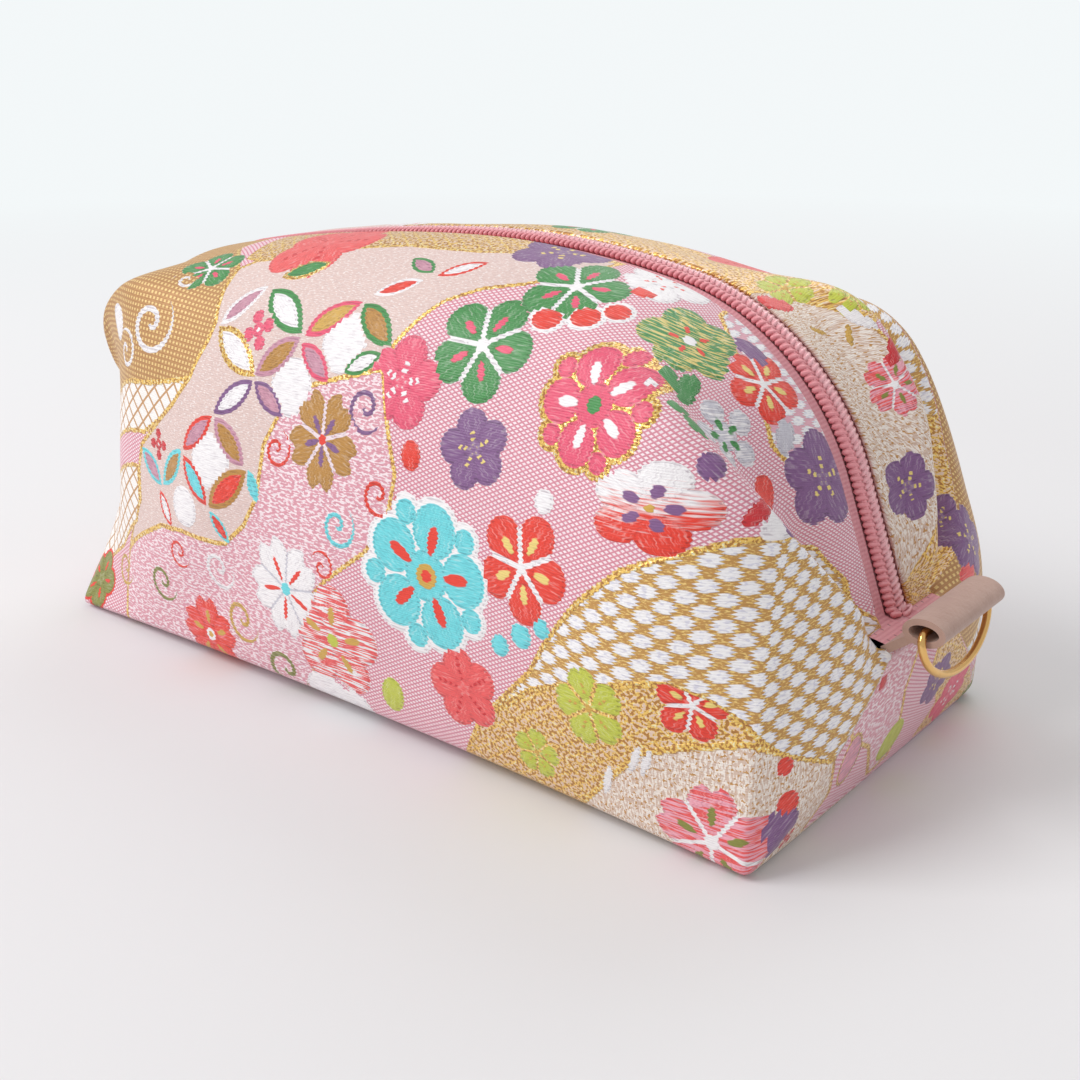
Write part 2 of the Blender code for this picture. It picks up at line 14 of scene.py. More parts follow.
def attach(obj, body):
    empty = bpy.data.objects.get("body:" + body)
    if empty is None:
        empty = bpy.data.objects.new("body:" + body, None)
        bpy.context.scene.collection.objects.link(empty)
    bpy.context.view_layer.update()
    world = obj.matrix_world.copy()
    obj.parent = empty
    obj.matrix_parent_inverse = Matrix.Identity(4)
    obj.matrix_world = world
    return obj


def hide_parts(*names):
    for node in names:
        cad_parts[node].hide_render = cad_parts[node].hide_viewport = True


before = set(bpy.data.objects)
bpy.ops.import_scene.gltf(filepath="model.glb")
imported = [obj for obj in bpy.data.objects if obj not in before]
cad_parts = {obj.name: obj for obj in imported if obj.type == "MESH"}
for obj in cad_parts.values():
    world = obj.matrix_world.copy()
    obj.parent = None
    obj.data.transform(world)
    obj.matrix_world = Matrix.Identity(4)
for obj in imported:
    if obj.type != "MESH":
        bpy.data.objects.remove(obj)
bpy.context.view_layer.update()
MM = 0.001
print("nodes", sorted(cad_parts))

# %% [markdown]
# ## The camera
# The camera comes first, because every colour and fold below was placed against the photograph's own
# view. It stands close to the front right corner and looks down a little, so the near corner is drawn
# large.

# %% Camera
camera_data = bpy.data.cameras.new("camera")
camera = bpy.data.objects.new("camera", camera_data)
bpy.context.scene.collection.objects.link(camera)
bpy.context.scene.camera = camera
camera_data.sensor_width = 36.0
camera_data.lens = 48.095
camera_data.clip_end = 20.0
right_way = (0.778681174, 0.627419819, 0.0)
down_way = (0.219920829, -0.272940388, -0.936556658)
view_way = (-0.587614209, 0.729279038, -0.350516229)
camera_place = (0.198457, -0.230216, 0.140038)
for row in range(3):
    values = (right_way[row], -down_way[row], -view_way[row], camera_place[row])
    for column in range(4):
        camera.matrix_world[row][column] = values[column]

# %% [markdown]
# ## The cloth's shape
# The pouch is a loft along the zip's line. Each section starts at the zip, goes out over the strip beside
# it, round the fold at the shoulder, down the panel and in over the base. The lists hold the folds in
# millimetres.

# %% Sizes of the body
BASE_HALF_LENGTH, BASE_HALF_DEPTH = 95.0, 46.5
ZIP_MIDDLE_HEIGHT = 95.4
SEAM_HEIGHT, SEAM_HALF_WIDTH, SEAM_HALF_THICK, SEAM_REACH = 33.4, 13.2, 2.2, 102.0
RIGHT_LINE = {"lean": radians(-3.0), "arch": 200.0, "run": 50.0, "shoulder": 52.0, "end": radians(69.0)}
LEFT_LINE = {"lean": radians(3.0), "arch": 500.0, "run": 70.0, "shoulder": 34.0, "end": radians(86.0)}
FRONT_EDGE, BACK_EDGE = 8.0, 5.4
CORNER_RUN = 104.0
RUN = (0.0, 55.0, 75.0, 90.0, CORNER_RUN, 117.0, 124.0)
FRONT_RIGHT = {
    "ear_side": (36.0, 37.0, 40.0, 38.5, 33.5, 26.0, 19.5),
    "ear_rise": (-11.0, -7.5, -3.5, -0.2, 3.2, 5.0, 4.5),
    "ear_slide": (0.0, 1.5, 3.4, 2.6, 0.2, -2.0, -0.8),
    "valley": (0.0, 0.0, 0.8, 2.6, 4.0, 4.0, 2.6),
    "ridge": (0.0, 0.0, 0.0, 0.0, 0.0, 0.0, 0.0),
    "bulge": (8.3, 8.0, 7.4, 5.6, 4.0, 3.2, 1.8),
}
BACK_RIGHT = {
    "ear_side": (35.0, 37.0, 39.0, 39.0, 37.5, 32.0, 24.0),
    "ear_rise": (-10.0, -6.0, -0.8, -0.2, -1.0, 0.6, 2.0),
    "ear_slide": (0.0, -0.5, -1.0, -3.4, -1.6, 1.0, 0.5),
    "valley": (0.0, 0.0, 1.0, 3.5, 6.5, 6.0, 3.0),
    "ridge": (0.0, 1.0, 6.4, 6.2, 4.6, 2.6, 1.2),
    "bulge": (7.5, 7.5, 7.2, 6.4, 5.4, 4.6, 2.4),
}
FRONT_LEFT = {
    "ear_side": (36.0, 36.0, 37.0, 36.0, 32.0, 25.0, 19.0),
    "ear_rise": (-11.0, -9.0, -4.0, -1.0, 1.0, 2.6, 2.4),
    "ear_slide": (0.0, 1.0, 2.0, 2.0, 0.0, -1.0, -0.8),
    "valley": (0.0, 0.0, 0.8, 2.4, 3.6, 3.2, 2.0),
    "ridge": (0.0, 0.0, 0.0, 0.0, 0.0, 0.0, 0.0),
    "bulge": (8.3, 6.6, 2.0, -4.0, -9.0, -4.0, -1.0),
}
BACK_LEFT = dict(FRONT_LEFT, ear_rise=(-10.0, -7.0, -3.0, -0.5, 1.0, 2.6, 2.4))
FRONT_VALLEY, BACK_VALLEY, RIDGE_SHAPE = (0.55, 0.25), (0.72, 0.14), (0.40, 0.18)
CAD_EDGE = {FRONT_EDGE: 10.0, BACK_EDGE: 7.0}
BASE_LIFT, BASE_BOW = 0.8, 2.6
SWELL_AHEAD, END_SAG, SAG_FROM = 0.35, 1.6, 0.8


# %% The zip's line and the sections
def bump(values, middle, width):
    """A smooth hump of height 1."""
    return np.exp(-(((values - middle) / width) ** 2))


def arch_end(line):
    """Where a half's low arch ends, and its lean there."""
    lean = line["lean"] + line["run"] / line["arch"]
    x = line["arch"] * (sin(lean) - sin(line["lean"]))
    z = ZIP_MIDDLE_HEIGHT + line["arch"] * (cos(lean) - cos(line["lean"]))
    return x, z, lean


def zip_line(run, line):
    """Place and lean of the zip's line at a run from the middle, in millimetres, for the half towards +X."""
    if run <= line["run"]:
        lean = line["lean"] + run / line["arch"]
        x = line["arch"] * (sin(lean) - sin(line["lean"]))
        return np.array([x, ZIP_MIDDLE_HEIGHT + line["arch"] * (cos(lean) - cos(line["lean"]))]), lean
    end_x, end_z, first = arch_end(line)
    centre = np.array([end_x - line["shoulder"] * sin(first), end_z - line["shoulder"] * cos(first)])
    lean = min(first + (run - line["run"]) / line["shoulder"], line["end"])
    place = centre + line["shoulder"] * np.array([sin(lean), cos(lean)])
    rest = run - line["run"] - line["shoulder"] * (line["end"] - first)
    return place + max(rest, 0.0) * np.array([cos(lean), -sin(lean)]), lean


def half_run(line):
    run = line["run"] + line["shoulder"] * (line["end"] - arch_end(line)[2])
    return run + (zip_line(run, line)[0][1] - SEAM_HEIGHT - SEAM_HALF_THICK) / sin(line["end"])


def smooth_keys(values, run, end_value, full_run):
    places = np.array(RUN + (full_run,))
    heights = np.array(values + (end_value,))
    at = min(run, places[-1])
    k = int(np.clip(np.searchsorted(places, at) - 1, 0, len(places) - 2))
    slopes = np.gradient(heights, places)
    span = places[k + 1] - places[k]
    t = (at - places[k]) / span
    first = (1 + 2 * t) * (1 - t) ** 2 * heights[k] + t * (1 - t) ** 2 * span * slopes[k]
    return first + t * t * (3 - 2 * t) * heights[k + 1] - t * t * (1 - t) * span * slopes[k + 1]


def base_corner_line(run, full_run):
    if run <= CORNER_RUN:
        x = BASE_HALF_LENGTH * run / CORNER_RUN
        return np.array([x, BASE_HALF_DEPTH, BASE_LIFT + BASE_BOW * (1.0 - (x / BASE_HALF_LENGTH) ** 2)])
    t = (run - CORNER_RUN) / (full_run - CORNER_RUN)
    height = BASE_LIFT + (SEAM_HEIGHT - SEAM_HALF_THICK - BASE_LIFT) * t
    side = BASE_HALF_DEPTH + (SEAM_HALF_WIDTH - BASE_HALF_DEPTH) * t
    return np.array(
        [BASE_HALF_LENGTH + (SEAM_REACH - BASE_HALF_LENGTH) * (1.0 - (1.0 - t) ** 2), side, height]
    )


STRIP = np.linspace(0.0, 1.0, 31)
PANEL = np.linspace(0.0, 1.0, 83)[1:]
BASE = np.linspace(0.0, 1.0, 36)[1:]


def half_section(run, keys, line, edge, valley_shape):
    """Points out from the cloth's edge beside the zip to the middle of the base."""
    full = half_run(line)
    (x, z), lean = zip_line(run, line)
    outward = np.array([sin(lean), 0.0, cos(lean)])
    along = np.array([cos(lean), 0.0, -sin(lean)])
    centre = np.array([x, 0.0, z])
    ends = {"ear_side": SEAM_HALF_WIDTH}
    ear_side, ear_rise, ear_slide, valley, ridge, bulge = (
        smooth_keys(keys[name], run, ends.get(name, 0.0), full)
        for name in ("ear_side", "ear_rise", "ear_slide", "valley", "ridge", "bulge")
    )
    # The frame's strips start at their own edges. The cloth goes on a little nearer to the zip.
    cad_edge = CAD_EDGE[edge]
    nearer = (cad_edge - edge) / (ear_side - cad_edge)
    t = STRIP * (1.0 + nearer) - nearer
    rise = ear_rise * t * abs(t) - valley * bump(t, *valley_shape) + ridge * bump(t, *RIDGE_SHAPE)
    side = cad_edge + (ear_side - cad_edge) * t
    slide = ear_slide * t * abs(t)
    strip = centre + side[:, None] * (0, 1, 0) + rise[:, None] * outward + slide[:, None] * along
    ear = strip[-1]
    corner = base_corner_line(run, full)
    swell = np.array([SWELL_AHEAD * run / full, 1.0, 0.0])
    curve = bulge * np.sin(pi * PANEL**0.85).clip(0.0) ** 0.8
    panel = ear + (corner - ear) * PANEL[:, None] + curve[:, None] * swell
    sag = END_SAG * max(0.0, run / full - SAG_FROM) * (1.0 - run / full) / (1.0 - SAG_FROM) ** 2
    base = corner * np.stack([np.ones_like(BASE), 1.0 - BASE, np.ones_like(BASE)], axis=1)
    if run <= CORNER_RUN:
        base[:, 2] = corner[2] * (1.0 - BASE / 0.5).clip(0.0) ** 2
    base[:, 0] -= sag * BASE
    return np.concatenate([strip, panel, base])


# %% [markdown]
# ## A fine grid over the whole body
# Rows run from the left end's seam to the right one, about a millimetre apart. A little smoothing across
# each row rounds the shoulder and the edge of the base, as cloth with a soft interlining does.

# %% Grid
run_right, run_left = half_run(RIGHT_LINE), half_run(LEFT_LINE)
ROW_STEP = 1.1
LEFT_END_ROWS, RIGHT_END_ROWS = 30, 26
MIDDLE_MIX = 14.0
left_end_runs = np.linspace(run_left, CORNER_RUN, LEFT_END_ROWS)[:-1]
left_runs = np.concatenate([left_end_runs, np.arange(CORNER_RUN, 0.0, -ROW_STEP)])
right_end_runs = np.linspace(CORNER_RUN, run_right, RIGHT_END_ROWS)
right_runs = np.concatenate([np.arange(0.0, CORNER_RUN, ROW_STEP), right_end_runs])


def side_rows(left_keys, right_keys, edge, valley_shape):
    rows = [half_section(run, left_keys, LEFT_LINE, edge, valley_shape) * (-1, 1, 1) for run in left_runs]
    rows += [half_section(run, right_keys, RIGHT_LINE, edge, valley_shape) for run in right_runs]
    return np.array(rows)


front_rows = side_rows(FRONT_LEFT, FRONT_RIGHT, FRONT_EDGE, FRONT_VALLEY) * (1, -1, 1)
back_rows = side_rows(BACK_LEFT, BACK_RIGHT, BACK_EDGE, BACK_VALLEY)
loop_rows = np.concatenate([front_rows, back_rows[:, -2::-1]], axis=1)
run_of_row = np.concatenate([-left_runs, right_runs])
ear_column = len(STRIP) - 1
crease_column = ear_column + len(PANEL)


def blurred(values, axis, times):
    """Repeated averaging with the neighbours; the two ends stay."""
    values = np.moveaxis(values.copy(), axis, 0)
    for _ in range(times):
        values[1:-1] = 0.5 * values[1:-1] + 0.25 * (values[2:] + values[:-2])
    return np.moveaxis(values, 0, axis)


def row_mixed(values, times):
    """Blends the rows near the middle, where two halves with slightly different keys meet."""
    soft = blurred(values, 0, times)
    share = bump(run_of_row, 0.0, MIDDLE_MIX)[:, None, None]
    return values + (soft - values) * share


loop_rows = row_mixed(loop_rows, 60)
loop_rows = blurred(loop_rows, 1, 3)
loop_rows = blurred(loop_rows, 0, 2)
print("cloth grid", loop_rows.shape)

# %% [markdown]
# ## Measures on the cloth
# A place on the cloth is given as on a tailor's chart: the run along the zip, and the tape-measure
# distance from the fold at the shoulder, minus towards the zip and plus down the panel. The base has its
# own chart.

# %% Charts
ZIP_SIDE = np.array([0.0, 1.0, 0.0])
middle_column = (loop_rows.shape[1] - 1) // 2
middle_row = int(np.argmin(abs(run_of_row)))


def unit(ways, least=0.0):
    """Directions of length 1. least keeps a direction without length from dividing by nought."""
    return ways / (np.linalg.norm(ways, axis=-1)[..., None] + least)


def added_up(steps, axis):
    """Running sums of steps along an axis of the grid, from nought at its first line."""
    first = np.zeros_like(np.take(steps, [0], axis=axis))
    return np.concatenate([first, np.cumsum(steps, axis=axis)], axis=axis)


def measured(rows, axis):
    """Tape-measure distance along an axis of the grid, from its first line."""
    return added_up(np.linalg.norm(np.diff(rows, axis=axis), axis=2), axis)


row_leans = [zip_line(abs(run), RIGHT_LINE if run > 0 else LEFT_LINE)[1] for run in run_of_row]
row_outward = np.array(
    [(sin(lean) * np.sign(run), 0, cos(lean)) for run, lean in zip(run_of_row, row_leans)]
)
print(
    "panel height at the middle", round(float(measured(loop_rows, 1)[middle_row, crease_column]), 1), "mm",
)

# %% [markdown]
# ## Rolled edges and closed ends
# Beside the zip the cloth is turned under, so its edge is round and stands over the tape. At each end the
# two lips of the body are caught in one seam. Both are a few more rows and columns of the same grid.

# %% Rolled edges and end lips
ROLL = ((0.45, -0.15), (0.62, -0.6), (0.4, -1.05), (-0.4, -1.25), (-2.4, -1.35))
LIP = ((0.72, 0.45), (0.3, 0.5), (0.0, -0.8))


def rolled(edge, way):
    return [edge + ZIP_SIDE * way * reach + row_outward * drop for reach, drop in ROLL]


def lip_rows(row, way):
    """Rows that curl the end's two lips in to the middle of the seam."""
    middle = row * (1, 1, 0) + (0, 0, SEAM_HEIGHT)
    return [middle + (row - middle) * share + (way * out, 0, 0) for share, out in LIP]


front_roll = np.stack(rolled(loop_rows[:, 0], 1.0)[::-1], axis=1)
back_roll = np.stack(rolled(loop_rows[:, -1], -1.0), axis=1)
cloth_rows = np.concatenate([front_roll, loop_rows, back_roll], axis=1)
left_lip = lip_rows(cloth_rows[0], -1.0)[::-1]
right_lip = lip_rows(cloth_rows[-1], 1.0)
cloth_rows = np.concatenate([left_lip, cloth_rows, right_lip])
lip_count, roll_count = len(LIP), len(ROLL)
column_count = cloth_rows.shape[1]
ear_at, crease_at = roll_count + ear_column, roll_count + crease_column
middle_at, row_at = roll_count + middle_column, lip_count + middle_row
back_ear_at, back_crease_at = column_count - 1 - ear_at, column_count - 1 - crease_at

over = measured(cloth_rows, 1)
front_down = over - over[:, [ear_at]]
back_down = over[:, [back_ear_at]] - over
along = measured(cloth_rows, 0)
along = along - along[[row_at]]
run_grid = np.pad(run_of_row, lip_count, mode="edge")[:, None] * np.ones((1, column_count))
base_run = along[:, [middle_at]] * np.ones((1, column_count))
columns = np.arange(column_count)[None, :] * np.ones((len(cloth_rows), 1), int)
CHARTS = {
    "front": (run_grid, front_down, columns < crease_at),
    "back": (run_grid, back_down, columns > back_crease_at),
    "base": (base_run, cloth_rows[..., 1], (columns >= crease_at) & (columns <= back_crease_at)),
}
print("whole cloth", cloth_rows.shape)

# %% [markdown]
# ## The weave's direction
# Cloth is cut with its threads level. So the pattern's threads run level round the pouch and not along
# the curved zip: from each base edge the steps over the cloth are added up, level and rising, as one
# would with a tape.

# %% Weave
TOP_LEAN = 0.6


def woven(chosen, start):
    """Level and falling distances over some columns of the cloth, measured from one of them."""
    places, normals = cloth_rows[:, chosen], cloth_normals[:, chosen]
    way = 1.0 if start < middle_at + 1 else -1.0
    level = unit(np.cross((0.0, 0.0, 1.0) + TOP_LEAN * way * normals[..., 2:] * ZIP_SIDE, normals), 1e-9)
    first = int(np.argmin(abs(chosen - start)))
    found = []
    for direction in (level, -np.cross(normals, level)):
        paths = []
        for axis in (0, 1):
            ways = (np.delete(direction, 0, axis) + np.delete(direction, -1, axis)) / 2
            paths.append(added_up((ways * np.diff(places, axis=axis)).sum(axis=2), axis))
        down, across = paths
        found.append(across - across[:, [first]] + (down - down[[row_at]])[:, [first]])
    return found


cloth_normals = unit(np.cross(np.gradient(cloth_rows, axis=1), np.gradient(cloth_rows, axis=0)), 1e-12)
weave = np.zeros(cloth_rows.shape)
weave[..., 2] = run_grid
PANEL_COLUMNS = (
    (0, crease_at, crease_at - 1),
    (crease_at, back_crease_at + 1, middle_at),
    (back_crease_at + 1, column_count, back_crease_at + 1),
)
for first, last, start in PANEL_COLUMNS:
    chosen = np.arange(first, last)
    weave[:, chosen, 0], weave[:, chosen, 1] = woven(chosen, start)
print("weave spans", np.ptp(weave[..., 0]).round(1), "by", np.ptp(weave[..., 1]).round(1), "mm")

# %% [markdown]
# ## Small wrinkles
# Soft cloth is never quite even. Shallow dents of about a millimetre run over both panels, with a few
# tighter ones towards the left end. They die away at the zip, at the base's edges and at the ends. Above
# the tab the front has one real crease: the shoulder fold stands up there, with a valley beside it.

# %% Wrinkles
WRINKLE, LEFT_WRINKLE = 0.72, 0.8
FOLD_RISE, FOLD_SINK = 0.9, 1.7
level_at, fall_at = weave[..., 0], weave[..., 1]
dents = np.sin(level_at / 11.0 + 1.3 * np.sin(fall_at / 17.0))
dents = dents * np.sin(fall_at / 14.0 + 0.8 * np.sin(level_at / 23.0))
tight = np.sin((level_at + 0.6 * fall_at) / 6.3 + np.sin(fall_at / 19.0))
tight = tight * (0.5 - 0.5 * np.tanh((run_grid + 30.0) / 25.0))
zip_fade = (np.minimum(over, over[:, [-1]] - over) / 14.0 - 0.3).clip(0.0, 1.0)
base_away = np.minimum(abs(over - over[:, [crease_at]]), abs(over - over[:, [back_crease_at]]))
off_base = (columns < crease_at) | (columns > back_crease_at)
base_fade = np.where(off_base, (base_away / 14.0).clip(0.0, 1.0), 0.0)
end_fade = ((CORNER_RUN - abs(run_grid)) / 18.0).clip(0.0, 1.0)
wrinkle = (WRINKLE * dents + LEFT_WRINKLE * tight * 0.5) * zip_fade * base_fade * end_fade
cloth_rows = cloth_rows + cloth_normals * wrinkle[..., None]
fold_share = np.where(columns < crease_at, np.exp(-(((run_grid - 88.0) / 17.0) ** 4)), 0.0)
fold = FOLD_RISE * bump(front_down, 0.5, 3.6) - FOLD_SINK * bump(front_down, -7.0, 4.2)
cloth_rows = cloth_rows + cloth_normals * (fold * fold_share)[..., None]
print("deepest dent", round(float(abs(wrinkle).max()), 2), "mm")

# %% [markdown]
# ## One way to make a sheet
# Each cloth, tape and wire here starts as a grid primitive, whose points are then moved to their places.
# A wire is the same grid with its two edges merged. Measures for the shader are kept on the finished
# sheet.


# %% Sheets and tubes from a grid
def deselect():
    if bpy.context.object and bpy.context.object.mode != "OBJECT":
        bpy.ops.object.mode_set(mode="OBJECT")
    bpy.ops.object.select_all(action="DESELECT")


def sheet(name, places, merge=False):
    """A grid primitive whose points are moved to the given rows and columns of places, in millimetres."""
    deselect()
    rows, columns = places.shape[:2]
    bpy.ops.mesh.primitive_grid_add(x_subdivisions=columns - 1, y_subdivisions=rows - 1, size=2.0)
    piece = bpy.context.object
    piece.name = piece.data.name = name
    flat = np.empty(rows * columns * 3)
    piece.data.vertices.foreach_get("co", flat)
    flat = flat.reshape(-1, 3).round(5)
    order = np.lexsort((flat[:, 0], flat[:, 1]))
    moved = np.empty_like(flat)
    moved[order] = places.reshape(-1, 3) * MM
    piece.data.vertices.foreach_set("co", moved.ravel())
    piece.data.update()
    if merge:
        bpy.ops.object.mode_set(mode="EDIT")
        bpy.ops.mesh.select_all(action="SELECT")
        bpy.ops.mesh.remove_doubles(threshold=0.00001)
        bpy.ops.mesh.normals_make_consistent(inside=False)
        bpy.ops.object.mode_set(mode="OBJECT")
    bpy.ops.object.shade_smooth()
    return piece, order


def wire_rows(line, side, up, width, height, sides):
    """Rows of places round a line: width is measured to its side and height in its up direction."""
    turns = np.linspace(0.0, 2 * pi, sides + 1)
    rounds = [line + side * cos(turn) * width / 2 + up * sin(turn) * height / 2 for turn in turns]
    return np.stack(rounds, axis=1)


def tube(name, line, width, height, sides, up):
    """A closed tube along a line of places. up gives the direction of its height at each place."""
    line = np.asarray(line, float)
    ahead = unit(np.gradient(line, axis=0))
    side = unit(np.cross(ahead, np.asarray(up, float)))
    rows = wire_rows(line, side, np.cross(side, ahead), width, height, sides)
    first_end, last_end = [np.broadcast_to(line[[k], None], rows[:1].shape) for k in (0, -1)]
    return sheet(name, np.concatenate([first_end, rows, last_end]), merge=True)[0]


def by_point(values, order):
    """A grid's values in the order of its sheet's points."""
    placed = np.empty_like(values)
    placed[order] = values
    return placed


def keep(piece, name, values, domain="POINT"):
    """Keeps a number or a vector on each point, face or corner of a piece."""
    kind, key = ("FLOAT", "value") if values.ndim == 1 else ("FLOAT_VECTOR", "vector")
    layer = piece.data.attributes.new(name, kind, domain)
    layer.data.foreach_set(key, values.astype(np.float32).ravel())


shell, shell_order = sheet("brocade_shell", cloth_rows)
print("brocade shell", len(shell.data.polygons), "faces")

# %% [markdown]
# ## Colours
# Threads have a small set of colours. They are kept as ordinary screen values and turned to linear light
# once.

# %% Thread colours
THREADS = {
    "sky": (112, 222, 230),
    "red": (238, 62, 44),
    "deep red": (214, 44, 52),
    "coral": (242, 92, 92),
    "rose": (238, 88, 120),
    "pale rose": (246, 170, 186),
    "purple": (134, 92, 142),
    "green": (66, 146, 74),
    "lime": (200, 208, 74),
    "olive": (138, 140, 62),
    "gold": (214, 170, 76),
    "pale gold": (242, 216, 128),
    "ochre": (190, 138, 62),
    "white": (250, 247, 248),
    "silver": (206, 204, 214),
    "pink": (222, 150, 174),
    "mauve": (206, 148, 168),
    "pale pink": (244, 226, 232),
    "sand": (206, 178, 160),
    "shadow": (120, 80, 84),
}


def linear(colour):
    """Linear light of a thread colour's name or of screen values."""
    values = np.array(THREADS[colour] if isinstance(colour, str) else colour) / 255.0
    return tuple(np.where(values <= 0.04045, values / 12.92, ((values + 0.055) / 1.055) ** 2.4))


print(len(THREADS), "thread colours")

# %% [markdown]
# ## Fields of the pattern
# The ground of the cloth is split into fields by winding gold cords. Each field is an outline on the
# chart, and each point of the cloth keeps its signed distance to it, so that the shader can draw a smooth
# border anywhere.

# %% Field outlines
CREASE = 100.0
karakusa_right = [(-9.5, CREASE), (-9.3, 66.8), (-5.5, 58.8), (0.2, 53.7), (9.9, 47.2), (15.4, 39.8)]
karakusa_right += [(16.7, 30.7), (13.2, 21.6), (9.5, 11.7)]
shippo_low = [(-0.7, 14.3), (-10.2, 16.7), (-15.7, 19.2), (-18.6, 23.1), (-22.0, 29.5), (-22.2, 33.8)]
shippo_low += [(-22.8, 40.7), (-27.2, 47.2), (-34.6, 52.3), (-43.0, 52.1), (-50.2, 51.4), (-59.3, 51.9)]
shippo_low += [(-69.3, 56.4), (-79.6, 60.8)]
shippo_left = [(-68.9, 48.4), (-68.5, 40.2), (-66.9, 35.1), (-57.8, 27.6), (-52.9, 23.8), (-48.2, 17.7)]
scroll_right = [(-47.4, 14.4), (-45.2, 9.2), (-44.5, 5.1), (-47.9, -3.1), (-49.1, -9.8)]
top_line = [(-45.3, -12.9), (-22.9, -15.2), (-5.0, -19.8), (12.6, -20.6), (29.0, -24.6), (40.0, -30.0)]
shippo_right = [(38.4, -18.4), (30.1, -11.9), (22.8, -8.4), (16.8, -3.6), (13.7, 1.7), (10.3, 6.8)]
kanoko_top = [(40.1, 74.0), (53.4, 57.9), (56.8, 50.8), (63.6, 39.2), (71.6, 28.4), (78.9, 21.4)]
kanoko_top += [(87.4, 13.7), (92.9, 8.9), (104.3, 0.3), (110.7, -14.5), (117.9, -14.8), (125.8, -7.9)]
kanoko_low = [(116.2, 33.0), (110.4, 34.8), (101.8, 33.6), (93.5, 35.3), (84.4, 39.0), (76.1, 45.5)]
kanoko_low += [(67.3, 52.6), (53.5, 61.6), (40.1, 74.3)]
sand_top = [(106.2, 35.0), (102.2, 36.5), (90.2, 46.4), (79.9, 56.2), (66.0, 80.0), (60.0, CREASE)]
FIELDS = {
    "shippo": [
        shippo_low[::-1] + [(9.5, 11.7)] + shippo_right[::-1] + top_line[::-1]
        + scroll_right[::-1] + shippo_left[::-1]
    ],
    "karakusa": [karakusa_right + shippo_low + [(-82.6, 68.0), (-84.0, CREASE)]],
    "kanoko": [kanoko_top + [(140.0, 7.7), (140.0, 33.0)] + kanoko_low],
    "gold": [
        [(28.0, CREASE), (40.1, 74.3)] + kanoko_low[::-1] + sand_top,
        [(-60.0, -60.0), (-50.0, -14.0)] + top_line + [(48.0, -60.0)],
    ],
    "sand": [sand_top[::-1] + [(116.2, 33.0), (140.0, 33.0), (140.0, CREASE)]],
    "scroll": [
        [(-150.0, 30.0), (-63.4, 20.9), (-48.2, 17.7)]
        + scroll_right + [(-60.0, -20.0), (-60.0, -60.0), (-150.0, -60.0)]
    ],
    "net": [
        [
            (-150.0, 30.0), (-63.4, 20.9), (-48.2, 17.7), (-52.9, 23.8), (-57.8, 27.6), (-65.7, 32.2),
            (-150.0, 40.0),
        ],
        [
            (-150.0, 60.0), (-84.8, 59.2), (-72.2, 53.7), (-69.5, 48.5), (-69.2, 40.6), (-90.0, 42.0),
            (-150.0, 48.0),
        ],
    ],
    "patch": [
        [
            (60.0, -60.0), (64.0, -29.0), (72.0, -24.5), (82.0, -21.0), (90.0, -17.5), (97.0, -19.0),
            (104.0, -60.0),
        ]
    ],
}
BACK_FIELDS = {
    "gold": [
        [
            (-30.0, -60.0), (-30.0, -10.0), (40.0, -14.0), (76.0, -17.0), (79.0, -24.0), (62.0, -30.0),
            (50.0, -60.0),
        ],
        [(100.0, -20.0), (98.0, 14.0), (140.0, 14.0), (140.0, -20.0)],
    ],
    "kanoko": [[(60.0, -15.0), (64.0, 8.0), (98.0, 10.0), (102.0, -8.0), (97.0, -20.0), (79.0, -18.0)]],
    "sand": [[(50.0, -60.0), (62.0, -30.0), (79.0, -24.0), (97.0, -20.0), (140.0, -20.0), (140.0, -60.0)]],
    "shippo": [
        [(-150.0, -60.0), (-150.0, 0.0), (-90.0, 0.0), (-60.0, -10.0), (-30.0, -12.0), (-30.0, -60.0)]
    ],
}
BASE_FIELDS = {
    "karakusa": [
        [
            (140.0, -40.0), (140.0, 4.0), (116.4, -2.3), (106.0, 1.5), (98.0, 4.0), (97.0, -4.0),
            (108.0, -12.0), (114.0, -22.0),
        ]
    ],
    "sand": [[(90.0, -60.0), (90.0, -33.0), (103.0, -24.0), (112.0, -28.0), (112.0, -60.0)]],
    "gold": [[(90.0, 14.0), (104.0, 20.0), (118.0, 9.0), (140.0, 14.0), (140.0, 60.0), (90.0, 60.0)]],
}
FIELD_ORDER = ("shippo", "karakusa", "scroll", "net", "gold", "kanoko", "sand", "patch")
print("fields", ", ".join(FIELD_ORDER))


# %% Distances to the fields
FAR_OFF = 9.0


def outline_distance(points, outline):
    """Signed distance of each point to a closed outline, minus inside it."""
    corners = np.array(outline, float)
    after = np.roll(corners, -1, axis=0)
    away = np.full(len(points), 1e9)
    inside = np.zeros(len(points), bool)
    for a, b in zip(corners, after):
        edge, reach = b - a, points - a
        share = (reach @ edge / max(edge @ edge, 1e-9)).clip(0.0, 1.0)
        away = np.minimum(away, np.linalg.norm(reach - share[:, None] * edge, axis=1))
        crosses = (a[1] > points[:, 1]) != (b[1] > points[:, 1])
        height = b[1] - a[1] if b[1] != a[1] else 1e-9
        inside ^= crosses & (points[:, 0] < a[0] + (points[:, 1] - a[1]) * edge[0] / height)
    return np.where(inside, -away, away)


def field_distance(points, outlines):
    if not outlines:
        return np.full(len(points), FAR_OFF)
    return np.min([outline_distance(points, outline) for outline in outlines], axis=0)


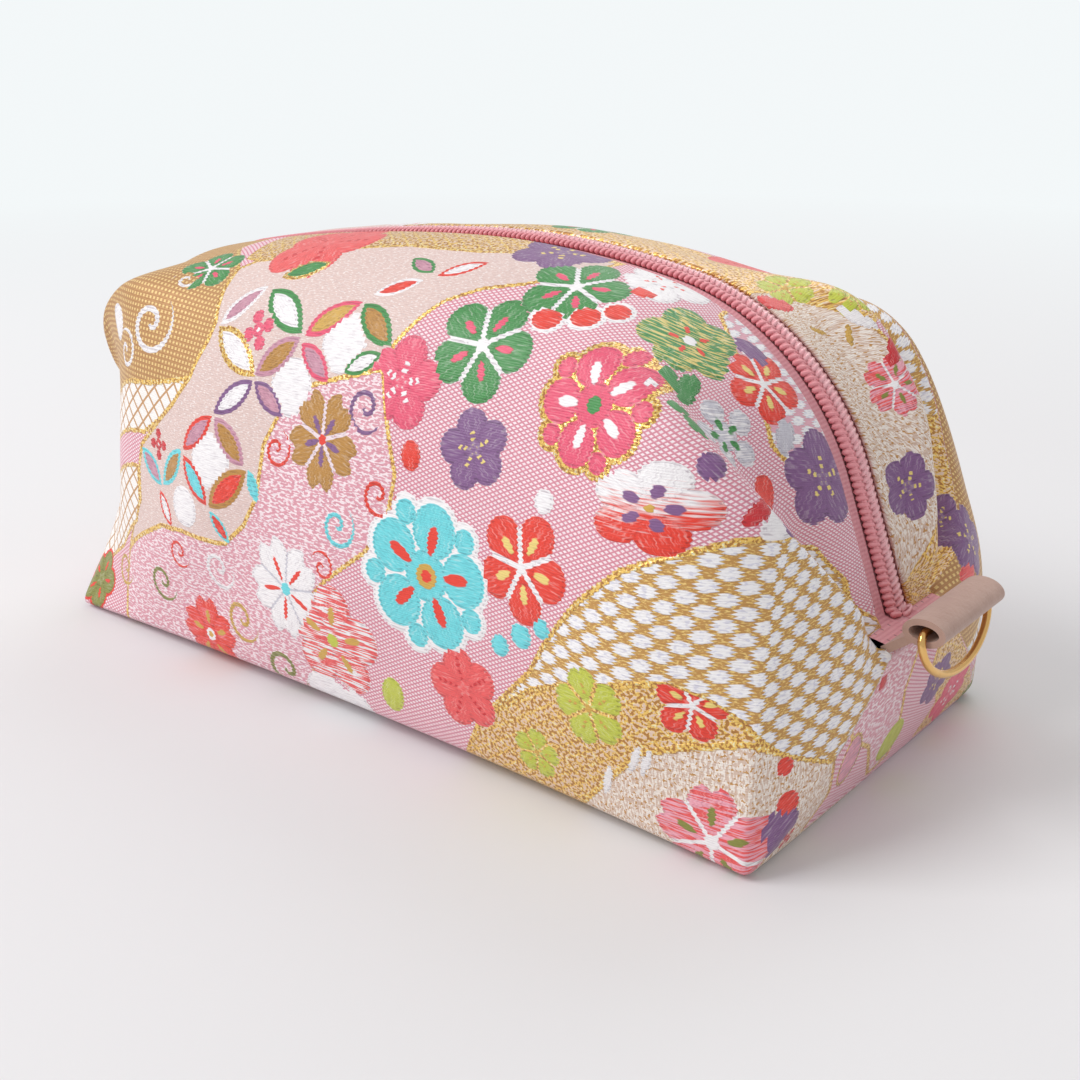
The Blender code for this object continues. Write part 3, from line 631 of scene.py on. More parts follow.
END_FACE_FROM = 95.5
front_places = np.stack([run_grid, front_down], axis=2).reshape(-1, 2)
back_places = np.stack([run_grid, back_down], axis=2).reshape(-1, 2)
behind_places = back_places * (-1, 1)
base_places = np.stack([base_run, cloth_rows[..., 1]], axis=2).reshape(-1, 2)
flat_columns = columns.reshape(-1)
on_back = flat_columns >= middle_at
on_back_strip = on_back & (back_places[:, 1] < 0.0)
on_end = (abs(base_places[:, 0]) > END_FACE_FROM) & (flat_columns > crease_at) & (
    flat_columns < back_crease_at
)
point_field = {}
for field in FIELD_ORDER:
    values = field_distance(front_places, FIELDS[field])
    values = np.where(on_back, field_distance(behind_places, FIELDS[field]), values)
    values = np.where(on_back_strip, field_distance(back_places, BACK_FIELDS.get(field)), values)
    values = np.where(on_end, field_distance(base_places, BASE_FIELDS.get(field)), values)
    keep(shell, "field_" + field, by_point(values, shell_order))
    point_field[field] = by_point(values.clip(-FAR_OFF, FAR_OFF), shell_order)
print("fields measured on", len(flat_columns), "points")

# %% [markdown]
# ## Motifs
# On the fields lie plum and cherry blossoms, seeds, linked ovals and scrolls. Each kind is a short
# recipe: how many petals, where their circles lie, and which threads outline and fill them. All lengths
# are shares of the motif's own radius, so that one recipe serves every size.


# %% Recipes for the motifs
def recipe(petal, petals=5, reach=0.58, round=0.42, notch=0.0, outline=0.0, seam=0.0, stroke=0.0, start=0.28,
           end=0.62, core=0.0, ring=0, shade=0, streak=0.0, dotted=0, aspect=1.0, second=None, marks="white",
           heart="gold", rim="white"):
    return {
        "kind": (petals, 0.0, aspect),
        "form": (reach, round, notch),
        "lines": (outline, seam, stroke),
        "inner": (core, start, end),
        "more": (ring, shade, streak),
        "extra": (1.0, dotted, float(rim == "gold")),
        "petal": linear(petal),
        "second": linear(second or petal),
        "marks": linear(marks),
        "heart": linear(heart),
        "rim": linear(rim),
    }


def seed(colour, aspect=1.0, rim="white", outline=0.0):
    return recipe(colour, petals=1, reach=0.0, round=1.0 - outline, aspect=aspect, rim=rim, outline=outline)


def link(ring, fill):
    """A pointed oval of the linked-ring pattern, with its ring and its fill."""
    return recipe(fill, petals=0, outline=0.15, rim=ring)


def scroll(colour):
    return recipe(colour, petals=-1)


PLUMS = {
    "green plum": recipe(
        "green", reach=0.6, round=0.39, seam=0.045, stroke=0.07, core=0.12, marks="rose", heart="white",
    ),
    "purple plum": recipe(
        "purple", reach=0.56, round=0.44, stroke=0.07, start=0.1, end=0.5, dotted=1, marks="pale gold",
    ),
    "double rose": recipe(
        "rose", reach=0.56, round=0.31, outline=0.09, ring=1, stroke=0.08, core=0.12, heart="green",
        rim="gold",
    ),
    "double sky": recipe(
        "sky", reach=0.56, round=0.32, outline=0.08, ring=1, stroke=0.075, core=0.15, marks="red",
        start=0.26,
    ),
    "red plum": recipe(
        "red", reach=0.6, round=0.38, seam=0.05, stroke=0.08, core=0.1, marks="pale gold", heart="white",
    ),
    "two-tone plum": recipe(
        "white", second="red", shade=1, stroke=0.12, start=0.2, end=0.5, marks="purple", core=0.08,
        aspect=0.66,
    ),
    "coral plum": recipe(
        "coral", reach=0.54, round=0.46, stroke=0.05, start=0.15, end=0.8, dotted=1, marks="deep red",
    ),
    "streaked plum": recipe(
        "coral", second="white", streak=1.0, stroke=0.07, core=0.12, marks="gold", heart="lime",
    ),
    "ochre cherry": recipe(
        "ochre", notch=0.2, round=0.38, reach=0.62, stroke=0.075, start=0.1, end=0.5, marks="purple",
        core=0.1, heart="red", seam=0.04, rim="pale pink",
    ),
    "white cherry": recipe(
        "white", notch=0.2, stroke=0.05, start=0.15, marks="red", core=0.12, heart="sky", seam=0.02,
        rim="silver",
    ),
    "red cherry": recipe(
        "red", notch=0.18, stroke=0.07, marks="gold", core=0.16, heart="white", streak=0.35,
        second="pale rose",
    ),
    "olive plum": recipe(
        "olive", outline=0.09, reach=0.54, round=0.38, rim="red", stroke=0.06, marks="red",
    ),
    "rose plum": recipe("rose", reach=0.56, round=0.43, stroke=0.1, start=0.1, end=0.45, dotted=1),
    "gold plum": recipe(
        "green", second="pale gold", streak=0.9, reach=0.55, round=0.44, stroke=0.06, marks="red",
        core=0.13, heart="white", start=0.2, end=0.42,
    ),
    "red white plum": recipe("white", stroke=0.05, start=0.15, end=0.5, marks="red", dotted=1),
    "lime plum": recipe(
        "lime", notch=0.1, stroke=0.05, dotted=1, marks="gold", seam=0.05, rim="gold", core=0.1,
    ),
    "small rose": recipe("rose", petals=4, reach=0.6, round=0.32, notch=0.12, core=0.1, heart="white"),
    "small red": recipe("deep red", petals=4, reach=0.62, round=0.3, notch=0.1, core=0.08, heart="white"),
    "striped plum": recipe(
        "coral", second="pale rose", streak=1.3, notch=0.14, seam=0.035, stroke=0.07, marks="olive",
        core=0.13, heart="white", rim="white",
    ),
    "silver plum": recipe(
        "silver", second="white", streak=0.9, reach=0.62, round=0.31, stroke=0.1, start=0.15, end=0.45,
        marks="green",
    ),
}
print(len(PLUMS), "kinds of blossom")

# %% [markdown]
# ## Where each motif lies
# The places were read from the pouch itself: run along the zip, distance from the shoulder fold, radius,
# turn in degrees. A last word, where there is one, names a field whose cord cuts the motif, with - for
# inside it.

# %% Places of the motifs
FRONT_BLOSSOMS = {
    "green plum": [(30.5, 3.4, 11.0, -69), (-57.4, -9.0, 8.0, -105), (40.1, -15.2, 10.5, 18)],
    "purple plum": [(34.8, 22.0, 7.7, 113), (99.4, -24.1, 8.9, 161), (27.7, -27.4, 10.0, 12)],
    "double rose": [(59.3, 6.9, 13.0, 125)],
    "double sky": [(26.1, 48.4, 16.5, 81)],
    "red plum": [(49.8, 39.2, 10.7, 68), (80.0, -24.0, 8.0, -22), (90.0, 38.6, 6.8, 30, "gold-")],
    "two-tone plum": [(75.6, 14.9, 12.2, 32)],
    "coral plum": [(36.3, 68.5, 8.6, 107), (-28.9, -19.8, 14.0, 6)],
    "streaked plum": [(-0.6, 68.1, 12.6, 12)],
    "ochre cherry": [(-4.2, 26.8, 10.7, -91)],
    "white cherry": [(-14.3, 59.2, 11.6, -99)],
    "red cherry": [(-46.6, 75.7, 9.6, -52)],
    "olive plum": [(-99.8, 64.5, 7.8, 0)],
    "rose plum": [(14.7, 13.6, 9.3, 85, "karakusa")],
    "gold plum": [(65.9, -17.2, 9.6, -144)],
    "red white plum": [(51.4, -27.7, 9.0, 8)],
    "striped plum": [(96.3, 59.7, 11.3, 25)],
    "lime plum": [(68.4, 56.1, 7.8, 45), (55.2, 74.7, 5.4, 85)],
    "silver plum": [(84.0, -9.4, 7.6, 100)],
    "small rose": [(-29.8, 6.2, 5.0, 112)],
    "small red": [(-59.0, 33.6, 3.9, 95)],
}
FRONT_SEEDS = {
    ("red", 0.8): [(20.2, 26.4, 2.9, -79), (51.4, -20.8, 2.9, 18), (97.0, -10.3, 3.4, 120)],
    ("deep red", 0.45): [(97.1, 1.0, 3.6, 78)],
    ("red", 1.0): [(109.1, 36.9, 1.8, 0), (109.8, 43.3, 2.5, 0)],
    ("white", 1.0): [(52.6, 26.3, 2.2, 0), (68.0, -2.6, 1.3, 0), (-81.4, 7.8, 4.2, 0)],
    ("white", 0.8): [(101.3, -1.0, 4.0, 68), (-5.8, 82.5, 6.6, 0), (1.5, 83.8, 5.6, 0)],
    ("purple", 1.0): [(85.5, 1.6, 2.5, 0), (103.6, -1.7, 2.0, 0), (108.7, 48.7, 4.7, 0)],
    ("purple", 0.55): [(74.0, -28.0, 4.4, 10)],
    ("sky", 1.0): [(45.6, 55.8, 2.2, 0), (50.8, 51.8, 2.5, 0), (55.9, 48.1, 2.0, 0)],
    ("lime", 0.75): [(15.5, 76.9, 4.0, -101)],
    ("silver", 0.6): [(89.9, -21.1, 3.6, -36)],
    ("green", 0.5): [
        (69.6, -6.8, 3.5, 168), (75.0, -2.5, 2.6, 22), (79.5, -2.0, 3.0, 1), (73.0, -8.6, 4.2, 120),
    ],
    ("white", 0.25): [(78.9, 58.3, 3.3, -100), (81.4, 57.0, 3.3, -100), (72.9, 68.3, 3.7, -100)],
}
RIMMED_SEEDS = [(40.2, -5.6, 4.2, 0), (47.1, -8.6, 4.2, 0), (51.7, -12.4, 3.6, 0)]
FRONT_LINKS = {
    ("gold", "green"): [(-25.7, -9.1, 6.6, 20)],
    ("green", "white"): [(-24.2, 1.5, 8.6, -34), (3.3, 11.1, 5.0, 26)],
    ("white", "mauve"): [(-38.4, 0.5, 6.7, 46)],
    ("rose", "gold"): [(-9.5, 2.7, 7.3, 34)],
    ("green", "ochre"): [(3.4, 3.2, 7.2, -36)],
    ("gold", "white"): [(-35.3, 10.8, 8.7, -34)],
    ("mauve", "ochre"): [(-22.1, 11.5, 7.2, 35), (-32.3, 29.9, 6.7, -45)],
    ("rose", "mauve"): [(-10.3, 12.0, 6.1, -35)],
    ("purple", "white"): [(-32.9, 20.6, 6.5, 36)],
    ("purple", "mauve"): [(-22.5, 20.2, 5.6, -35)],
    ("red", "mauve"): [(-42.8, 28.9, 6.1, 43)],
    ("red", "sky"): [(-43.1, 39.1, 6.3, -50)],
    ("ochre", "red"): [(-32.3, 39.9, 7.6, 38)],
    ("sky", "mauve"): [(-62.5, 39.2, 5.5, -36)],
    ("sky", "ochre"): [(-52.8, 37.6, 6.4, 49)],
    ("red", "white"): [(-56.8, 47.5, 4.3, -54), (14.1, -13.3, 5.1, 38)],
    ("sky", "red"): [(-35.5, 48.5, 4.1, -51)],
    ("sky", "sky"): [(-24.2, 38.5, 3.5, -68)],
    ("white", "red"): [(2.6, -6.1, 5.4, 27)],
    ("green", "mauve"): [(3.6, -13.3, 4.8, -26)],
}
FRONT_CELLS = [(-3.0, 7.3, 6.4, 0), (-16.0, 17.3, 6.2, 0), (-37.6, 34.5, 6.2, 0), (-48.0, 45.5, 4.6, 0)]
FRONT_SCROLLS = {
    "purple": [(7.0, 19.4, 5.1, 0, "karakusa-")],
    "red": [(-18.0, 30.2, 4.2, 90), (12.6, 35.4, 4.6, 40), (-52.6, 56.7, 3.8, 0), (-2.0, 52.3, 3.5, 180)],
    "sky": [(1.8, 43.1, 4.8, 60)],
    "olive": [(-62.1, 65.7, 4.9, 0), (-19.3, 79.0, 6.1, 0)],
    "white": [
        (-38.3, 58.3, 5.1, 20), (-64.0, 8.0, 7.0, 60), (-74.0, 15.0, 5.0, 150), (-60.0, -4.0, 4.0, 200),
    ],
    "gold": [(-32.3, 69.3, 5.6, 0), (-83.5, 64.7, 4.4, 0)],
}
BACK_BLOSSOMS = {
    "lime plum": [(62.9, -25.8, 5.8, 6), (72.4, -21.1, 4.6, 12)],
    "striped plum": [(89.9, -27.6, 6.4, 5)],
    "purple plum": [(116.8, -4.7, 5.3, 149), (107.9, -30.8, 6.6, 10), (120.5, 2.6, 7.6, 0)],
    "coral plum": [(50.0, -8.0, 13.0, 20)],
    "green plum": [(14.0, -21.0, 9.0, 20), (-88.0, -12.0, 8.0, 60)],
    "rose plum": [(-10.0, -8.0, 8.5, 40)],
    "white cherry": [(-32.0, -24.0, 9.0, 0), (30.0, -4.0, 7.0, 30)],
    "ochre cherry": [(-60.0, -14.0, 9.0, 10)],
    "red plum": [(-78.0, -30.0, 7.5, 0), (-112.0, -20.0, 7.5, 30)],
    "double sky": [(-104.0, -2.0, 11.0, 15)],
}
BACK_SEEDS = {
    ("coral", 0.6): [(65.2, -32.9, 3.7, 45), (123.6, 4.8, 3.5, 0)],
    ("gold", 0.3): [(78.1, -28.8, 2.4, -30), (74.2, -32.7, 1.9, 40)],
    ("white", 0.3): [(76.1, -25.0, 4.6, 23)],
    ("deep red", 0.4): [(84.9, -23.6, 4.1, -43)],
}
BASE_SEEDS = {
    ("deep red", 0.8): [(122.7, -14.2, 1.7, 0)],
    ("lime", 0.9): [(103.5, 0.3, 4.9, 0)],
    ("purple", 0.8): [(100.9, -39.7, 4.0, 0)],
}
BASE_BLOSSOMS = {
    "small red": [(99.0, -36.0, 2.6, 0)],
    "rose plum": [(103.0, 27.0, 7.5, 0), (-103.0, -22.0, 8.0, 0)],
    "green plum": [(-112.0, -6.0, 7.0, 30), (-40.0, 0.0, 11.0, 0)],
    "purple plum": [(112.0, 14.0, 6.0, 20), (-100.0, 4.0, 6.5, 0), (30.0, -14.0, 10.0, 0)],
    "red plum": [(-106.0, 22.0, 8.0, 10), (-5.0, 12.0, 12.0, 0)],
    "lime plum": [(-117.0, 8.0, 4.5, 0), (64.0, 10.0, 9.0, 0)],
}


STREAKED_OVAL = recipe(
    "pale rose", second="mauve", streak=1.0, petals=1, reach=0.0, round=0.86, outline=0.14, aspect=0.6,
    rim="gold",
)
SHOULDER_REACH = -4.0


def whole_list():
    """Every motif as chart, recipe and place. The back panel repeats the front one, seen from behind."""
    listed = []
    for chart, kinds in (("front", FRONT_BLOSSOMS), ("back", BACK_BLOSSOMS), ("base", BASE_BLOSSOMS)):
        listed += [(chart, PLUMS[kind], place) for kind, places in kinds.items() for place in places]
    for chart, kinds in (("front", FRONT_SEEDS), ("back", BACK_SEEDS), ("base", BASE_SEEDS)):
        for (colour, aspect), places in kinds.items():
            listed += [(chart, seed(colour, aspect), place) for place in places]
    listed += [("front", seed("red", 0.85, outline=0.28), place) for place in RIMMED_SEEDS]
    listed += [("front", seed("white"), place) for place in FRONT_CELLS]
    for (ring, fill), places in FRONT_LINKS.items():
        listed += [("front", link(ring, fill), place) for place in places]
    for colour, places in FRONT_SCROLLS.items():
        listed += [("front", scroll(colour), place) for place in places]
    listed.append(("base", STREAKED_OVAL, (108.9, -19.9, 6.4, 45)))
    behind = [
        ("back", form, (-place[0], place[1], place[2], place[3] + 180, *place[4:]))
        for chart, form, place in listed if chart == "front" and place[1] - place[2] > SHOULDER_REACH
    ]
    return listed + behind


motifs = whole_list()
print(len(motifs), "motifs")

# %% [markdown]
# ## Pin the motifs on the cloth
# Each face of the cloth belongs to the motif whose middle is nearest. Its corners keep their place in
# that motif's own frame, and the face keeps the recipe. The shader then draws every petal with a crisp
# edge.

# %% Motif frames
REACH_SHARE, MOST_FLAT, LEAST_FACING = 1.16, 0.75, 0.15


def around(at, reach, count):
    """The indices that far before and after one, kept on the grid."""
    return max(at - reach, 0), min(at + reach, count - 1)


def surface_frame(chart, u, v, radius):
    """Middle, direction along the pouch and outward normal of a motif, measured over its own size."""
    us, vs, allowed = CHARTS[chart]
    miss = (us - u) ** 2 + (vs - v) ** 2 + np.where(allowed, 0.0, 1e6)
    row, column = np.unravel_index(np.argmin(miss), miss.shape)
    wide = max(1, int(0.45 * radius / ROW_STEP))
    rows, cols = around(row, wide, len(us)), around(column, wide, column_count)
    near_rows, near_cols = around(row, 1, len(us)), around(column, 1, column_count)
    slope = cloth_rows[near_rows[1], column] - cloth_rows[near_rows[0], column]
    slope = slope / max(us[near_rows[1], column] - us[near_rows[0], column], 1e-3)
    fall = cloth_rows[row, near_cols[1]] - cloth_rows[row, near_cols[0]]
    fall = fall / (vs[row, near_cols[1]] - vs[row, near_cols[0]] + 1e-6)
    middle = cloth_rows[row, column] + slope * np.clip(u - us[row, column], -2, 2)
    middle = middle + fall * np.clip(v - vs[row, column], -2, 2)
    first = cloth_rows[rows[1], column] - cloth_rows[rows[0], column]
    normal = unit(np.cross(cloth_rows[row, cols[1]] - cloth_rows[row, cols[0]], first))
    first = unit(first)
    return middle, first, np.cross(normal, first), normal


mesh = shell.data
corner_points = np.empty(len(mesh.loops), np.int32)
mesh.loops.foreach_get("vertex_index", corner_points)
corner_points = corner_points.reshape(-1, 4)
points = np.empty(len(mesh.vertices) * 3)
mesh.vertices.foreach_get("co", points)
points = points.reshape(-1, 3) / MM
corner_places = points[corner_points]
face_middles = corner_places.mean(axis=1)
first_diagonal = corner_places[:, 2] - corner_places[:, 0]
face_normals = unit(np.cross(first_diagonal, corner_places[:, 3] - corner_places[:, 1]), 1e-12)

RECIPE_PARTS = (
    "kind", "form", "lines", "inner", "more", "extra", "petal", "second", "marks", "heart", "rim",
)
face_count = len(face_middles)
nearest = np.full(face_count, REACH_SHARE)
corner_frame = np.full((face_count, 4, 3), FAR_OFF)
face_recipe = {part: np.zeros((face_count, 3)) for part in RECIPE_PARTS}
face_recipe["kind"][:, 2] = 1.0
face_recipe["extra"][:, 0] = 1.0
for chart, form, (u, v, radius, turn, *clip) in motifs:
    middle, first, second, normal = surface_frame(chart, u, v, radius)
    away = face_middles - middle
    x, y = away @ first / radius, away @ second / radius
    tilt = radians(turn)
    narrowness = 0.5 if form["kind"][0] == 0 else form["kind"][2]
    share = np.hypot(x * cos(tilt) + y * sin(tilt), (y * cos(tilt) - x * sin(tilt)) / narrowness)
    flat = abs(away @ normal) / radius
    own = (share < nearest) & (flat < MOST_FLAT) & (face_normals @ normal > LEAST_FACING)
    nearest[own] = share[own]
    reach = (corner_places[own] - middle) / radius
    corner_frame[own, :, 0] = reach @ first
    corner_frame[own, :, 1] = reach @ second
    corner_frame[own, :, 2] = FAR_OFF
    if clip:
        sign = -1.0 if clip[0].endswith("-") else 1.0
        corner_frame[own, :, 2] = sign * point_field[clip[0].rstrip("-")][corner_points[own]]
    for part in RECIPE_PARTS:
        face_recipe[part][own] = form[part]
    face_recipe["kind"][own, 1] = tilt
    face_recipe["extra"][own, 0] = radius
keep(shell, "motif_place", corner_frame, "CORNER")
for part, values in face_recipe.items():
    keep(shell, "motif_" + part, values, "FACE")
keep(shell, "cloth_place", by_point(weave.reshape(-1, 3), shell_order))
print("faces that carry a motif", int((nearest < REACH_SHARE).sum()), "of", face_count)

# %% [markdown]
# ## Shader maths in Python
# A pattern is a sum of small measures. One class wraps a socket, so that a line such as a * 2 + b builds
# the nodes itself and the recipe stays readable. Any other node comes from its method node.


# %% A socket that does maths
THREAD_SHADE = (0.42, 0.34, 0.4, 1.0)


class Thread:
    tree = None

    def __init__(self, socket):
        self.socket = socket

    @classmethod
    def node(cls, kind, settings=None, sockets=None, out=0):
        made = cls.tree.nodes.new(kind)
        for name, value in (settings or {}).items():
            setattr(made, name, value)
        for key, value in (sockets or {}).items():
            if isinstance(value, Thread):
                cls.tree.links.new(value.socket, made.inputs[key])
            else:
                made.inputs[key].default_value = value
        return cls(made.outputs[out])

    def math(self, operation, other=None, clamp=False):
        sockets = {0: self} if other is None else {0: self, 1: other}
        return Thread.node("ShaderNodeMath", {"operation": operation, "use_clamp": clamp}, sockets)

    def __add__(self, other):
        return self.math("ADD", other)

    __radd__ = __add__

    def __sub__(self, other):
        return self.math("SUBTRACT", other)

    def __rsub__(self, other):
        return Thread.node("ShaderNodeMath", {"operation": "SUBTRACT"}, {0: other, 1: self})

    def __mul__(self, other):
        return self.math("MULTIPLY", other)

    __rmul__ = __mul__

    def __truediv__(self, other):
        return self.math("DIVIDE", other)

    def __abs__(self):
        return self.math("ABSOLUTE")

    def parts(self):
        """The three numbers of a vector."""
        split = Thread.tree.nodes.new("ShaderNodeSeparateXYZ")
        Thread.tree.links.new(self.socket, split.inputs[0])
        return [Thread(out) for out in split.outputs]


def kept(name):
    """A vector kept on the mesh."""
    return Thread.node("ShaderNodeAttribute", {"attribute_name": name}, out=1)


def kept_number(name):
    return Thread.node("ShaderNodeAttribute", {"attribute_name": name}, out=2)


def vector(x, y, z=0.0):
    return Thread.node("ShaderNodeCombineXYZ", {}, {0: x, 1: y, 2: z})


def own_place():
    """The piece's own coordinates, in metres."""
    return Thread.node("ShaderNodeTexCoord", out="Object")


def clamped(value):
    return value.math("ADD", 0.0, clamp=True)


def length(x, y):
    return (x * x + y * y).math("SQRT")


def within(distance, soft=0.2):
    """1 where a distance is below zero and 0 above it, with a soft edge in the distance's own unit."""
    return clamped(0.5 - distance * (1.0 / soft))


def lower(a, b):
    return a.math("MINIMUM", b)


def higher(a, b):
    return a.math("MAXIMUM", b)


def wave(value, step):
    """A triangle wave from 0 to 1 and back in one step."""
    return abs(value.math("ADD", 1000.0 * step).math("FLOORED_MODULO", step) * (1.0 / step) - 0.5) * 2.0


def blend(share, low, high):
    """A colour or vector between two, by a share."""
    return Thread.node("ShaderNodeMix", {"data_type": "RGBA"}, {0: share, 6: low, 7: high}, out=2)


def darker(share, colour):
    """The same colour in shade, as between threads."""
    settings = {"data_type": "RGBA", "blend_type": "MULTIPLY"}
    return Thread.node("ShaderNodeMix", settings, {0: share, 6: colour, 7: THREAD_SHADE}, out=2)


def between(share, low, high):
    """A number between two, by a share."""
    return Thread.node("ShaderNodeMix", {"data_type": "FLOAT"}, {0: share, 2: low, 3: high})


def grain(at, scale, detail=2.0, rough=0.5):
    sockets = {"Vector": at, "Scale": scale, "Detail": detail, "Roughness": rough}
    return Thread.node("ShaderNodeTexNoise", {}, sockets)


def new_material(name, roughness=0.6, metallic=0.0, sheen=0.0):
    material = bpy.data.materials.new(name)
    material.use_nodes = True
    Thread.tree = material.node_tree
    shader = material.node_tree.nodes["Principled BSDF"]
    shader.inputs["Roughness"].default_value = roughness
    shader.inputs["Metallic"].default_value = metallic
    shader.inputs["Sheen Weight"].default_value = sheen
    return material, shader


def drive(shader, **values):
    """Links values to the shader's sockets; names use _ for a space."""
    for name, value in values.items():
        Thread.tree.links.new(value.socket, shader.inputs[name.replace("_", " ")])


def relief(height, strength, distance):
    sockets = {"Strength": strength, "Distance": distance, "Height": height}
    return Thread.node("ShaderNodeBump", {}, sockets)


def rgb(*colour):
    """A shader colour from a thread's name or from red, green and blue screen values."""
    return (*linear(colour[0] if len(colour) == 1 else colour), 1.0)


print("shader helpers ready")

# %% [markdown]
# ## The brocade
# The cloth is one pattern, kept as four materials, so that a plain part of it carries no more than it
# needs. First come the grounds of the fields, then the gold cords between them, and over them the motif
# of each face. Gold thread is partly metal; satin thread lies over the ground. Here a and b are
# millimetres of cloth, level and falling, and a share or a soft edge lies between 0 and 1.


# %% Grounds of the fields
LATTICE_STEP, FINE_THREAD = 0.88, 0.46
MESH_STEP, NET_STEP, GRANULE_STEP = 3.1, 4.8, 1.15
DOT_PITCH, DOT_HALF = (6.5, 4.3), (1.95, 1.2)
DOT_SAW_STEP, MOTIF_SAW_STEP, CORD_SAW_STEP = 0.66, 0.95, 0.9
STEPS_BEFORE = 99


def dot_rows(a, b):
    """Distance, in shares, to rows of oval dots that are staggered by half a step."""
    saw = (wave(b, DOT_SAW_STEP) - 0.5) * 1.1
    nearest_dot = None
    for shift in (0.0, 0.5):
        places = []
        for value, pitch, half in zip((a + saw, b), DOT_PITCH, DOT_HALF):
            moved = value + pitch * (shift + STEPS_BEFORE)
            places.append((moved.math("FLOORED_MODULO", pitch) - pitch / 2) * (1 / half))
        dot = length(*places) - 1.0
        nearest_dot = dot if nearest_dot is None else lower(nearest_dot, dot)
    return nearest_dot


def field_grounds(a, b, speck, gold_with_glints):
    """The ground of each field and its share of gold, with the raised dots."""
    fleck = grain(vector(a * 0.7, b * 2.3 + 40.0), 1.6, 1.0)
    gold_mesh = within(lower(wave(a * 0.7 + b, MESH_STEP), wave(a * 0.7 - b, MESH_STEP)) - 0.2, 0.1)
    gold_ground = blend(within(0.52 - speck, 0.05) * (1 - gold_mesh), gold_with_glints, rgb(240, 212, 192))
    dashes = grain(vector(a * 0.8, b * 2.1), 1.0, 1.0)
    karakusa_ground = blend(within(0.52 - dashes, 0.06), rgb(224, 158, 172), rgb(250, 232, 236))
    shippo_ground = blend(within(0.6 - fleck, 0.05), rgb(226, 200, 193), rgb(243, 230, 226))
    dots = within(dot_rows(a, b), 0.12)
    dot_tone = blend(within(dashes - 0.42, 0.12), rgb(252, 250, 251), rgb(224, 222, 234))
    ochre_thread = blend(within(0.56 - fleck, 0.04), rgb(200, 150, 82), rgb(240, 206, 128))
    pebbles = grain(vector(a * 2.2, b * 0.8), 1.0, 1.0)
    sand_ground = blend(within(0.5 - pebbles, 0.06), rgb(222, 196, 178), rgb(250, 240, 230))
    sand_ground = blend(within(0.61 - speck, 0.04), sand_ground, rgb(200, 148, 84))
    net_lines = lower(wave(a + b * 1.1, NET_STEP), wave(a - b * 1.1, NET_STEP))
    net_ground = blend(within(net_lines - 0.17, 0.06), rgb(250, 246, 242), rgb(200, 152, 104))
    granules = higher(wave(a, GRANULE_STEP), wave(b, GRANULE_STEP))
    scroll_ground = blend(within(0.5 - granules, 0.15), rgb(240, 208, 140), rgb(190, 140, 88))
    grounds = {
        "shippo": (shippo_ground, 0.0),
        "karakusa": (karakusa_ground, 0.0),
        "scroll": (scroll_ground, 0.4),
        "net": (net_ground, 0.0),
        "gold": (gold_ground, 0.9),
        "kanoko": (blend(dots, ochre_thread, dot_tone), 0.15),
        "sand": (sand_ground, 0.1),
        "patch": (blend(dots, rgb(232, 176, 190), dot_tone), 0.0),
    }
    return grounds, dots


# %% The motif of a face
LENS_HALF = 0.42
LENS_CURVE = (1 + LENS_HALF**2) / (2 * LENS_HALF)
SCROLL_TURNS = 1.35
SOFT_EDGE = 0.15


def circle(x, y, middle, size):
    return length(x - middle, y) - size


